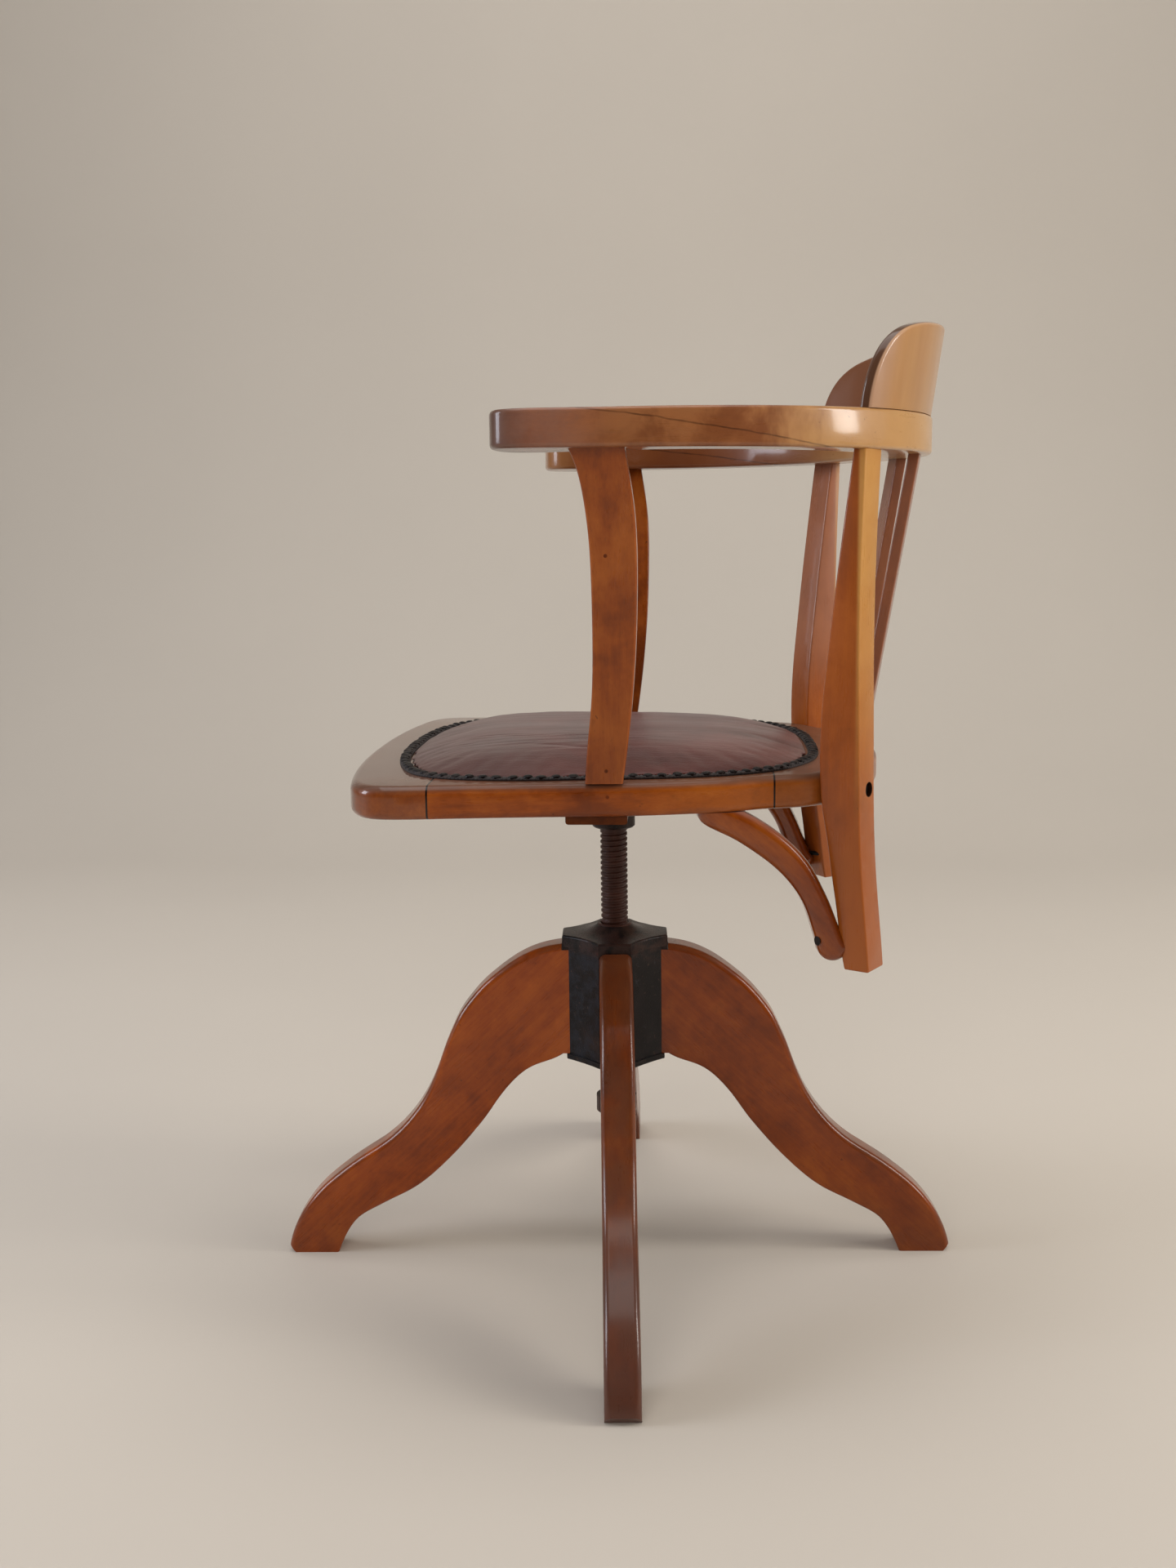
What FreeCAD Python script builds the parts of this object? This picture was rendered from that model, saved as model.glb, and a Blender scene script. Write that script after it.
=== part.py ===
import FreeCAD, Part
import math
import os

# Swivel armchair of bent and sawn beech on a four-legged base.
# Millimetres, +Z up, floor at z = 0, height screw on the Z axis.
# The front of the seat is towards -Y and the sitter's left is +X.

# ---------------------------------------------------------------- sizes
BASE_TURN = 2.0          # the base stands turned by this about the screw
LEG_TURNS = {"leg_left": 2.95, "leg_rear": 2.0, "leg_right": 0.11, "leg_front": 2.0}
LEG_T = 30.0             # leg thickness
HUB_FLAT_R = 43.5        # hub faces that the legs butt against
HUB_HALF = 15.0          # half width of those faces
LIP_R = 49.5             # outer reach of the plate lips
HUB_RIM, HUB_LO, HUB_HI = 195.0, 200.5, 305.0
LIP_Z = 301.5
PLATE_TOP, COLLAR_TOP = 316.0, 323.7
SCREW_R = 12.7           # 1 inch screw, 5.08 mm pitch
SCREW_BOT = 108.0
NUT_BORE = 13.15
WASHER_T = 1.6
IRON_BOT = 417.0         # seat iron
IRON_PLATE = 450.0
BEARER_BOT = 458.0
RAIL_BOT, RAIL_TOP = 465.5, 493.0
BEARER_TOP = 478.0
JOINT_Y = 139.0          # front and rear joints of the side rails
TRIM_W = 9.5
TRIM_T = 3.2
CROWN = 19.0
ARM_BOT, ARM_TOP = 752.3, 781.1
TOP_PLANE = ((0, -20.0, 780.9), (0, -0.0115, 1.0))   # the bow grows thicker to the rear
CREST_R0, CREST_LEAN, CREST_T = 282.3, 0.14, 8.8
POST_ANG = 58.0          # plan direction of a rear post from the axis
POST_T0, POST_T1 = -52.0, -23.0
POST_BOT = 331.5
SLAT_ANGLE = 12.0        # each slat's plan direction from +Y
SLAT_W = 24.0
SLAT_T = 9.5
SLAT_R0, SLAT_LEAN = 231.2, 0.17
NAIL_STEP = 12.0

V = FreeCAD.Vector
O = V(0, 0, 0)
Z = V(0, 0, 1)
os.makedirs("parts", exist_ok=True)
parts = {}


# ---------------------------------------------------------------- helpers
def spline(pts, closed=False):
    c = Part.BSplineCurve()
    c.interpolate([V(*p) for p in pts], PeriodicFlag=closed)
    return c.toShape()


def line(a, b):
    return Part.makeLine(V(*a), V(*b))


def polyline(pts):
    return [line(a, b) for a, b in zip(pts[:-1], pts[1:])]


def prism(edges, vec):
    return Part.Face(Part.Wire(edges)).extrude(V(*vec))


def poly_face(pts):
    return Part.Face(Part.makePolygon([V(*p) for p in pts] + [V(*pts[0])]))


def cyl(p, d, r, h):
    return Part.makeCylinder(r, h, V(*p), V(*d))


def mirror(s):
    return s.mirror(O, V(1, 0, 0))


def turn(s, deg):
    s = s.copy()
    s.rotate(O, Z, deg)
    return s


def round_edges(s, picks, radii):
    """Round the edges that picks() names, at the first radius that holds."""
    for r in radii:
        edges = [e for e in s.Edges if picks(e)]
        try:
            out = s.makeFillet(r, edges)
            if out.isValid() and out.Solids and 0.5 < out.Volume / s.Volume < 1.02:
                return out
        except Exception:
            pass
    print("not rounded", radii)
    return s


def mid(e):
    a, b = e.ParameterRange
    return e.valueAt((a + b) / 2.0)


def one(s):
    """The single solid of a boolean result."""
    sol = sorted(s.Solids, key=lambda q: -q.Volume)
    return sol[0]


def half_space(p, n, size=900.0):
    """Big block on the side of the plane (p, n) that n points to."""
    b = Part.makeBox(size, size, size, V(-size / 2, -size / 2, 0))
    b.Placement = FreeCAD.Placement(V(*p), FreeCAD.Rotation(Z, V(*n)))
    return b


def sample(pts, n):
    e = spline([(x, y, 0) for x, y in pts], True)
    out = e.discretize(Number=n + 1)
    return [(q.x, q.y) for q in out[:-1]]


def offset(pts, d):
    """Closed outline moved inwards by d along its normals."""
    n = len(pts)
    area = sum(pts[i][0] * pts[(i + 1) % n][1] - pts[(i + 1) % n][0] * pts[i][1]
               for i in range(n))
    s = 1.0 if area > 0 else -1.0
    out = []
    for i in range(n):
        ax, ay = pts[i - 1]
        bx, by = pts[(i + 1) % n]
        tx, ty = bx - ax, by - ay
        ln = math.hypot(tx, ty)
        out.append((pts[i][0] - s * ty / ln * d, pts[i][1] + s * tx / ln * d))
    return out


def full(half):
    """Outline from its right half, listed from the front centre to the rear."""
    return half + [(-x, y) for x, y in reversed(half) if abs(x) > 1e-6]


# ---------------------------------------------------------------- legs
leg_outer_0 = [(49.8, 311.6), (65.2, 309.0), (82.1, 303.5), (97.5, 295.3), (113.1, 283.6),
               (128.5, 269.4), (141.1, 254.0), (150.6, 238.9), (157.3, 223.8),
               (163.8, 208.2), (169.9, 191.6), (177.3, 174.0), (186.9, 156.3),
               (198.8, 140.0), (211.6, 126.2), (226.0, 114.4), (242.7, 103.4),
               (259.2, 92.0), (274.4, 79.8), (286.9, 67.6), (298.9, 52.3),
               (308.4, 36.0), (314.6, 21.9), (319.6, 7.0)]
leg_inner_0 = [(271.5, 0), (265.9, 14.6), (260.3, 26.0), (252.0, 36.9), (236.8, 47.3),
               (219.5, 56.4), (198.0, 67.0), (180.8, 79.2), (166.2, 93.0),
               (151.6, 108.4), (138.3, 124.0), (126.2, 139.2), (114.5, 156.4),
               (102.6, 171.6), (91.4, 182.8), (79.8, 190.2), (64.7, 195.6), (49.0, 199.5)]
# both curves are shaved by these amounts along their normals, at each radius
SHAVE_OUT = [(49, 4.9), (70, 4.6), (90, 4.8), (107, 4.6), (125, 4.0), (143, 3.0), (155, 1.7), (165, 1.4),
             (180, 2.0), (195, 2.8), (225, 3.5), (250, 3.5), (275, 2.9), (295, 1.4), (310, -0.4), (320, -0.8)]
SHAVE_IN = [(48, 0.6), (65, 2.6), (88, 2.7), (106, 2.2), (124, 2.0), (142, 2.1), (160, 2.0),
            (178, 1.7), (196, 2.1), (214, 2.7), (232, 2.8), (245, 2.5), (258, 1.5), (266, 0.5), (272, 0.0)]


def table(t, x):
    for (x0, y0), (x1, y1) in zip(t[:-1], t[1:]):
        if x <= x1:
            k = max(0.0, (x - x0) / (x1 - x0))
            return y0 + (y1 - y0) * k
    return t[-1][1]


def shaved(pts, tab):
    """Points moved along the curve's normal, to the side that lies lower."""
    out = []
    for i, (r, z) in enumerate(pts):
        a, b = pts[max(0, i - 1)], pts[min(len(pts) - 1, i + 1)]
        tr, tz = b[0] - a[0], b[1] - a[1]
        ln = math.hypot(tr, tz)
        nr, nz = -tz / ln, tr / ln
        if nz > 0:
            nr, nz = -nr, -nz
        d = table(tab, r)
        out.append((r + nr * d, z + nz * d))
    return out


leg_outer = shaved(leg_outer_0, SHAVE_OUT)
leg_inner = shaved(leg_inner_0, SHAVE_IN)
leg_outer[-1] = (319.6, 7.0)
leg_inner[0] = (271.5, 0)
leg_inner[-1] = (49.0, HUB_LO)


def make_leg():
    t = LEG_T
    e = polyline([(HUB_FLAT_R - 1.5, 0, HUB_LO), (HUB_FLAT_R - 1.5, 0, LIP_Z), (LIP_R + 0.6, 0, LIP_Z),
                  (LIP_R + 0.6, 0, leg_outer[0][1])])
    leg_outer[0] = (LIP_R + 0.6, leg_outer[0][1])
    e.append(spline([(r, 0, z) for r, z in leg_outer]))
    e += polyline([(319.6, 0, 7.0), (313.5, 0, 0), (271.5, 0, 0)])
    e.append(spline([(r, 0, z) for r, z in leg_inner]))
    e.append(line((49.0, 0, HUB_LO), (HUB_FLAT_R - 1.5, 0, HUB_LO)))
    s = prism(e, (0, t, 0))
    s.translate(V(0, -t / 2, 0))

    def outer(ed):
        m = mid(ed)
        return (ed.Curve.TypeId == "Part::GeomBSplineCurve" and abs(abs(m.y) - t / 2) < 0.01
                and abs(m.x) > 100 and outer_side(m))

    def outer_side(m):
        # the outer curve lies above the inner one
        lo = min(leg_outer, key=lambda q: (q[0] - m.x) ** 2 + (q[1] - m.z) ** 2)
        li = min(leg_inner, key=lambda q: (q[0] - m.x) ** 2 + (q[1] - m.z) ** 2)
        return math.hypot(lo[0] - m.x, lo[1] - m.z) < math.hypot(li[0] - m.x, li[1] - m.z)

    def inner(ed):
        m = mid(ed)
        return (ed.Curve.TypeId == "Part::GeomBSplineCurve" and abs(abs(m.y) - t / 2) < 0.01
                and abs(m.x) > 100 and not outer_side(m))

    s = round_edges(s, outer, (6.0, 5.0, 4.0))
    s = round_edges(s, inner, (2.5, 2.0, 1.5))
    return s


leg = make_leg()


# ---------------------------------------------------------------- hub
def hub_plan(r, z, dip):
    """Plan of the hub: a flat towards each leg, a slightly hollow side between."""
    h = HUB_HALF
    e = []
    for k in range(4):
        a = math.radians(90 * k)
        ca, sa = math.cos(a), math.sin(a)

        def q(x, y):
            return V(x * ca - y * sa, x * sa + y * ca, z)

        e.append(Part.makeLine(q(r, -h), q(r, h)))
        m = (r + h) / 2.0 - dip / math.sqrt(2)
        e.append(Part.Arc(q(r, h), q(m, m), q(h, r)).toShape())
    return Part.Face(Part.Wire(e))


def lips(r0, r1, z0, z1):
    b = Part.makeBox(r1 - r0, 2 * HUB_HALF, z1 - z0, V(r0, -HUB_HALF, z0))
    out = b
    for k in (1, 2, 3):
        out = out.fuse(turn(b, 90 * k))
    return out


sleeve = hub_plan(HUB_FLAT_R, HUB_LO, 1.2).extrude(V(0, 0, HUB_HI - HUB_LO))
sleeve = sleeve.cut(cyl((0, 0, HUB_LO - 1), (0, 0, 1), 30.0, 71.5))
sleeve = sleeve.cut(cyl((0, 0, HUB_LO), (0, 0, 1), 22.0, 120))
sleeve = sleeve.cut(cyl((0, 0, 299.0), (0, 0, 1), 30.0, 20))

top = hub_plan(LIP_R, HUB_HI, 4.0).extrude(V(0, 0, PLATE_TOP - HUB_HI))
top = round_edges(top, lambda e: abs(mid(e).z - PLATE_TOP) < 0.01, (2.0, 1.5, 1.0))
top = top.fuse(lips(HUB_FLAT_R, LIP_R, LIP_Z, HUB_HI + 2))
collar_edges = polyline([(0, 0, PLATE_TOP - 3), (40.5, 0, PLATE_TOP - 3), (40.5, 0, PLATE_TOP)])
collar_edges.append(spline([(40.5, 0, PLATE_TOP), (30.5, 0, PLATE_TOP + 1.2),
                            (22.5, 0, PLATE_TOP + 3.8), (16.4, 0, COLLAR_TOP)]))
collar_edges += polyline([(16.4, 0, COLLAR_TOP), (0, 0, COLLAR_TOP), (0, 0, PLATE_TOP - 3)])
collar = Part.Face(Part.Wire(collar_edges)).revolve(O, Z, 360)
if collar.Volume < 0:
    collar.reverse()
top = top.fuse(collar).cut(cyl((0, 0, 300), (0, 0, 1), NUT_BORE + 0.35, 40)).removeSplitter()

bot = hub_plan(46.3, HUB_RIM, 1.2).extrude(V(0, 0, HUB_LO - HUB_RIM))
bot = round_edges(bot, lambda e: abs(mid(e).z - HUB_RIM) < 0.01, (1.5, 1.0))
bot = bot.cut(cyl((0, 0, 180), (0, 0, 1), NUT_BORE + 1.0, 40)).removeSplitter()

nut = cyl((0, 0, 240.0), (0, 0, 1), 22.0, 59.0).fuse(
    cyl((0, 0, 299.0), (0, 0, 1), 30.0, HUB_HI - 299.0))
nut = nut.cut(cyl((0, 0, 230), (0, 0, 1), NUT_BORE, 90)).removeSplitter()

bolts = []
for k in range(4):
    a = math.radians(45 + 90 * k)
    x, y = 35.6 * math.cos(a), 35.6 * math.sin(a)
    # countersunk screws, flush with the plate below
    b = cyl((x, y, HUB_RIM + 0.2), (0, 0, 1), 3.0, 312.0 - HUB_RIM - 0.2).fuse(
        Part.makeCone(5.6, 3.0, 2.8, V(x, y, HUB_RIM + 0.2), Z))
    b = one(b.removeSplitter())
    bolts.append(b)
    hole = cyl((x, y, HUB_RIM - 1), (0, 0, 1), 5.6, 1.2)
    sleeve, top, bot = sleeve.cut(b), top.cut(b), bot.cut(b).cut(hole)
for nm, s in (("hub_sleeve", sleeve), ("hub_top_plate", top), ("hub_bottom_plate", bot),
              ("hub_nut", nut)):
    parts[nm] = turn(one(s), BASE_TURN)
parts["hub_clamp_bolts"] = turn(Part.makeCompound(bolts), BASE_TURN)
# the legs are scribed to the hub, each at its own small turn
for name, a in (("leg_left", 0), ("leg_rear", 90), ("leg_right", 180), ("leg_front", 270)):
    q = turn(leg, LEG_TURNS[name] + a)
    for h in ("hub_sleeve", "hub_top_plate", "hub_bottom_plate"):
        q = q.cut(parts[h])
    parts[name] = one(q)

# ---------------------------------------------------------------- height screw
washer = cyl((0, 0, COLLAR_TOP), (0, 0, 1), 16.2, WASHER_T)
parts["spindle_washer"] = washer.cut(cyl((0, 0, 300), (0, 0, 1), NUT_BORE + 0.2, 60))

screw = cyl((0, 0, SCREW_BOT), (0, 0, 1), SCREW_R, IRON_PLATE - SCREW_BOT)
screw = screw.makeChamfer(2.0, [e for e in screw.Edges if abs(mid(e).z - SCREW_BOT) < 0.01
                                and e.Curve.TypeId == "Part::GeomCircle"])
stop = cyl((0, 0, 140.0), (0, 0, 1), 19.0, 15.0).cut(cyl((0, 0, 130), (0, 0, 1), SCREW_R, 40))
pin = cyl((0, -19.0, 147.5), (0, 1, 0), 2.5, 38.0)
pin = pin.common(cyl((0, 0, 130), (0, 0, 1), 18.6, 40))
screw = screw.cut(pin)
stop = stop.cut(cyl((0, -25.0, 147.5), (0, 1, 0), 2.5, 50.0))
parts["spindle"] = one(screw)
parts["spindle_stop_collar"] = one(stop)
parts["spindle_stop_pin"] = one(pin)

iron_edges = polyline([(0, 0, IRON_BOT), (18.5, 0, IRON_BOT), (20.0, 0, IRON_BOT + 1.5),
                       (20.0, 0, 430.0)])
iron_edges.append(spline([(20.0, 0, 430.0), (22.0, 0, 440.0), (28.0, 0, IRON_PLATE)]))
iron_edges += polyline([(28.0, 0, IRON_PLATE), (52.0, 0, IRON_PLATE + 2.0), (52.0, 0, BEARER_BOT),
                        (0, 0, BEARER_BOT), (0, 0, IRON_BOT)])
iron = Part.Face(Part.Wire(iron_edges)).revolve(O, Z, 360)
if iron.Volume < 0:
    iron.reverse()
iron = iron.cut(cyl((0, 0, 400), (0, 0, 1), SCREW_R, IRON_PLATE - 400))

# ---------------------------------------------------------------- bearers
side = Part.makeBox(416, 50, BEARER_TOP - BEARER_BOT, V(-208, -30, BEARER_BOT))
for s in (1, -1):
    side = side.cut(Part.makeBox(60, 60, 30, V(s * 184 - 30 + s * 0, -35, RAIL_BOT)))
side = round_edges(side, lambda e: abs(mid(e).z - BEARER_BOT) < 0.01 and abs(mid(e).x) < 1,
                   (2.5, 2.0))
fore = Part.makeBox(50, 408, BEARER_TOP - BEARER_BOT, V(-25, -200, BEARER_BOT))
fore = fore.cut(Part.makeBox(60, 70, 30, V(-30, -218, RAIL_BOT)))
fore = fore.cut(Part.makeBox(60, 70, 30, V(-30, 152, RAIL_BOT)))
fore = fore.cut(Part.makeBox(60, 50, RAIL_BOT - BEARER_BOT + 2, V(-30, -30, BEARER_BOT - 2)))
side = side.cut(Part.makeBox(50, 60, 30, V(-25, -35, RAIL_BOT)))
screws = []
for x, y in ((36, -18), (36, 8), (-36, -18), (-36, 8)):
    s = cyl((x, y, 451.2), (0, 0, 1), 2.2, 25.0).fuse(
        Part.makeCone(4.2, 2.2, 3.0, V(x, y, 451.2), Z))
    s = one(s.removeSplitter())
    screws.append(s)
    iron, side = iron.cut(s), side.cut(s)
    iron = iron.cut(cyl((x, y, 446), (0, 0, 1), 4.2, 5.2))
parts["seat_iron"] = one(iron)
parts["seat_iron_screws"] = Part.makeCompound(screws)
parts["bearer_side"] = one(side)
parts["bearer_fore_aft"] = one(fore)

# ---------------------------------------------------------------- seat frame
frame_half = [(0, -222.5), (60, -221.5), (120, -217.5), (180, -209.5), (208, -202.0),
              (225.5, -188.0), (230.5, -165.0), (227.5, -130), (223.5, -89), (219.5, -31),
              (215.5, 25), (206.5, 74), (196.5, 107), (184.5, 134), (177.5, 160.5),
              (163.5, 182.5), (136.0, 200.5), (97.0, 221.0), (50.0, 236.0), (0, 241.0)]
frame_pts = full(frame_half)
frame_face = Part.Face(Part.Wire([spline([(x, y, RAIL_BOT) for x, y in frame_pts], True)]))
ring = frame_face.extrude(V(0, 0, RAIL_TOP - RAIL_BOT))
ring = round_edges(ring, lambda e: abs(mid(e).z - RAIL_TOP) < 0.01, (8.0, 7.0, 6.0, 4.0))
ring = round_edges(ring, lambda e: abs(mid(e).z - RAIL_BOT) < 0.01
                   and e.Curve.TypeId == "Part::GeomBSplineCurve", (6.0, 5.0, 4.0, 3.0))

pad_half = [(0, -189.0), (48, -188.0), (92, -183.5), (128, -175.5), (160, -163.5), (181, -148.0),
            (196, -122.0), (203.0, -91), (204.2, -58), (201.4, -25), (198.8, 8), (196.0, 41),
            (190.0, 74), (180.5, 104), (167.0, 129), (148.0, 150), (124.0, 166), (96, 177.5),
            (60, 184.5), (0, 187.0)]
pad_pts = sample(full(pad_half), 96)
inner_pts = offset(pad_pts, TRIM_W)
open_pts = offset(sample(full(pad_half), 48), 30.0)


def outline_face(pts, z):
    return Part.Face(Part.Wire([spline([(x, y, z) for x, y in pts], True)]))


opening = outline_face(open_pts, RAIL_BOT - 5).extrude(V(0, 0, 60))
deck = outline_face(open_pts, BEARER_TOP).extrude(V(0, 0, RAIL_TOP - BEARER_TOP))
ring = ring.cut(opening)
for b in ("bearer_side", "bearer_fore_aft"):
    parts[b] = one(parts[b])
    ring = ring.cut(parts[b])

# rear posts, cut first because the frame is let in to their front faces
ca, sa = math.cos(math.radians(POST_ANG)), math.sin(math.radians(POST_ANG))


def pt(rho, tau, z):
    return (ca * rho - sa * tau, sa * rho + ca * tau, z)


post_back = [(286.4, POST_BOT), (283.2, 366.0), (280.4, 393.0), (276.8, 443.0), (275.0, 520.0),
             (274.0, 580.0), (274.0, 640.0), (275.4, 700.0), (277.4, ARM_BOT)]
post_front = [(266.5, ARM_BOT), (259.2, 700.0), (251.4, 640.0), (245.6, 590.0), (241.4, 550.0),
              (239.6, 515.0), (240.0, 488.0), (242.0, 466.0), (246.5, 442.0), (251.5, 410.0),
              (256.5, 380.0), (262.0, 342.0), (264.3, POST_BOT)]


def make_post():
    e = [spline([pt(r, POST_T0, z) for r, z in post_back]),
         line(pt(277.4, POST_T0, ARM_BOT), pt(266.5, POST_T0, ARM_BOT)),
         spline([pt(r, POST_T0, z) for r, z in post_front]),
         line(pt(264.3, POST_T0, POST_BOT), pt(286.4, POST_T0, POST_BOT))]
    w = POST_T1 - POST_T0
    s = prism(e, (-sa * w, ca * w, 0))
    if s.Volume < 0:
        s.reverse()
    s = round_edges(s, lambda ed: ed.Curve.TypeId == "Part::GeomBSplineCurve",
                    (1.8, 1.2, 0.8))
    s = round_edges(s, lambda ed: abs(mid(ed).z - POST_BOT) < 0.01, (1.5, 1.0))
    return s


post = one(make_post())
post_r = mirror(post)
ring = ring.cut(post).cut(post_r)

front_joint = Part.makeBox(800, 400, 100, V(-400, -400 - JOINT_Y, 440))
rear_joint = Part.makeBox(800, 400, 100, V(-400, JOINT_Y, 440))
front_rail = ring.common(front_joint)
rear_rail = ring.common(rear_joint)
mid_ring = ring.cut(front_joint).cut(rear_joint)
rail_l = one(mid_ring.common(Part.makeBox(400, 800, 100, V(0, -400, 440))))
rail_r = one(mid_ring.common(Part.makeBox(400, 800, 100, V(-400, -400, 440))))
front_rail, rear_rail = one(front_rail), one(rear_rail)

# dowels across the frame joints
dowels = []
for sgn in (1, -1):
    for x in (192.0, 209.0):
        dowels.append(cyl((sgn * x, -JOINT_Y - 18, 478.5), (0, 1, 0), 4.0, 36.0))
    dowels.append(cyl((sgn * 171.0, JOINT_Y - 18, 478.5), (0, 1, 0), 4.0, 36.0))
for d in dowels:
    front_rail, rear_rail = front_rail.cut(d), rear_rail.cut(d)
    rail_l, rail_r = rail_l.cut(d), rail_r.cut(d)
parts["rail_dowels"] = Part.makeCompound(dowels)
parts["seat_deck"] = one(deck)


# ---------------------------------------------------------------- pad
def scaled(pts, k, z):
    return [(x * k, (y + 1) * k - 1, z) for x, y in pts]


ins = [inner_pts[i] for i in range(0, len(inner_pts), 2)]
ins = offset(ins, 0.4)
wires = []
for k, h in ((1.0, 0.0), (1.0, 2.5), (0.985, 5.0), (0.93, 8.5), (0.82, 12.0), (0.62, 15.6),
             (0.36, 18.2), (0.12, CROWN)):
    wires.append(Part.Wire([spline(scaled(ins, k, RAIL_TOP + h), True)]))
cushion = Part.makeLoft(wires, True, True)
parts["seat_cushion"] = one(cushion)

trim = outline_face(pad_pts, RAIL_TOP).extrude(V(0, 0, TRIM_T))
trim = trim.cut(outline_face(inner_pts, RAIL_TOP - 1).extrude(V(0, 0, 10)))
parts["gimp_trim"] = one(trim)

mid_pts = offset(pad_pts, TRIM_W / 2)
loop = spline([(x, y, RAIL_TOP + TRIM_T) for x, y in mid_pts], True)
count = int(round(loop.Length / NAIL_STEP))
dome = Part.makeSphere(5.2, O, Z).common(Part.makeBox(20, 20, 6, V(-10, -10, 2.6)))
dome.translate(V(0, 0, -2.6))
nails = []
for p in loop.discretize(Number=count + 1)[:-1]:
    d = dome.copy()
    d.translate(p)
    nails.append(one(d))
parts["upholstery_nails"] = Part.makeCompound(nails)


# ---------------------------------------------------------------- front arm posts
# z, front Y, rear Y, outer X, thickness in X
arm_post = [(RAIL_TOP, -13.0, 17.0, 219.5, 17.8), (525.0, -10.5, 21.5, 222.5, 19.4),
            (558.0, -7.0, 25.2, 227.0, 21.0), (610.0, -5.0, 29.0, 235.5, 23.0),
            (650.0, -5.0, 30.2, 243.5, 24.2), (684.0, -6.0, 30.2, 251.5, 25.2),
            (714.0, -9.0, 28.2, 259.5, 26.0), (735.0, -13.0, 25.2, 265.5, 26.6),
            (ARM_BOT, -19.5, 22.5, 270.5, 27.2)]


def make_arm_post():
    yf = [(0, q[1], q[0]) for q in arm_post]
    yr = [(0, q[2], q[0]) for q in reversed(arm_post)]
    side_view = Part.Face(Part.Wire([spline(yf), line(yf[-1], yr[0]), spline(yr),
                                     line(yr[-1], yf[0])])).extrude(V(160, 0, 0))
    side_view.translate(V(160, 0, 0))
    xo = [(q[3], -60, q[0]) for q in arm_post]
    xi = [(q[3] - q[4], -60, q[0]) for q in reversed(arm_post)]
    front_view = Part.Face(Part.Wire([spline(xo), line(xo[-1], xi[0]), spline(xi),
                                      line(xi[-1], xo[0])])).extrude(V(0, 120, 0))
    s = one(side_view.common(front_view))
    return round_edges(s, lambda e: e.BoundBox.ZLength > 200, (2.2, 1.6, 1.0))


apost = one(make_arm_post())
pins = []
for y, z in ((6.5, 673.0), (4.0, 503.5)):
    tool = cyl((300, y, z), (-1, 0, 0), 1.5, 86.5)
    p = tool.common(apost)
    p = one(p)
    apost = apost.cut(p)
    pins.append(p)
tool = cyl((240, 4.5, 482.0), (-1, 0, 0), 1.5, 26.5)
p = one(tool.common(rail_l))
rail_l = rail_l.cut(p)
pins.append(p)
pins += [mirror(q) for q in pins]
rail_r = rail_r.cut(pins[5])
parts["arm_post_pins"] = Part.makeCompound(pins)

# ---------------------------------------------------------------- arms and bow
arm_half = [(0, 284.2), (58.6, 277.9), (114.7, 259.6), (165.8, 229.8), (209.6, 189.8),
            (244.2, 141.6), (268.2, 87.3), (280.5, 34.0), (284.5, 2.0), (290.0, -25.0),
            (292.8, -43.0), (291.0, -59.5), (284.0, -71.5), (270.0, -77.0), (250.0, -78.8),
            (228.0, -76.5), (210.0, -70.0), (201.5, -58.0), (201.5, -44.0), (207.5, -24.0),
            (217.0, 0.0), (225.5, 28.0), (228.0, 58.0), (220.0, 88.0), (203.5, 120.0),
            (175.0, 158.5), (138.0, 191.5), (95.5, 215.8), (49.0, 231.0), (0, 236.0)]
loop_pts = ([(x, y) for x, y in arm_half[:-1]] + [(0, 236.0)]
            + [(-x, y) for x, y in reversed(arm_half[1:-1])])
loop_pts.reverse()


def above_top(p):
    (x0, y0, z0), (nx, ny, nz) = TOP_PLANE
    return (p.y - y0) * ny + (p.z - z0) * nz


def top_z(y):
    (x0, y0, z0), (nx, ny, nz) = TOP_PLANE
    return z0 - (y - y0) * ny / nz


bow = Part.makeLoft([Part.Wire([spline([(x, y, ARM_BOT) for x, y in loop_pts], True)]),
                     Part.Wire([spline([(x, y, top_z(y)) for x, y in loop_pts], True)])], True, True)
if bow.Volume < 0:
    bow.reverse()
bow = round_edges(bow, lambda e: abs(above_top(mid(e))) < 0.02, (3.4, 3.0, 2.5))
bow = round_edges(bow, lambda e: abs(mid(e).z - ARM_BOT) < 0.01
                  and e.Curve.TypeId == "Part::GeomBSplineCurve", (3.5, 3.0, 2.0))
# long scarf joints, with a small upright nose at each end
SCARF_R, SCARF_U = (0.93255, 0.36105), (-0.36105, 0.93255)


def scarf_point(u, z, w=90.0):
    return V(SCARF_R[0] * w + SCARF_U[0] * u, SCARF_R[1] * w + SCARF_U[1] * u, z)


SCARF = [(-400, 700), (-400, 820), (-57.2, 820), (-57.2, 773.0), (53.0, 757.5), (53.0, 700)]
front_l = Part.Face(Part.makePolygon([scarf_point(u, z) for u, z in SCARF + SCARF[:1]])).extrude(
    V(SCARF_R[0] * 320, SCARF_R[1] * 320, 0))
if front_l.Volume < 0:
    front_l.reverse()
arm_l = one(bow.common(front_l))
arm_r = mirror(arm_l)
back = one(bow.cut(front_l).cut(mirror(front_l)))

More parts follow.
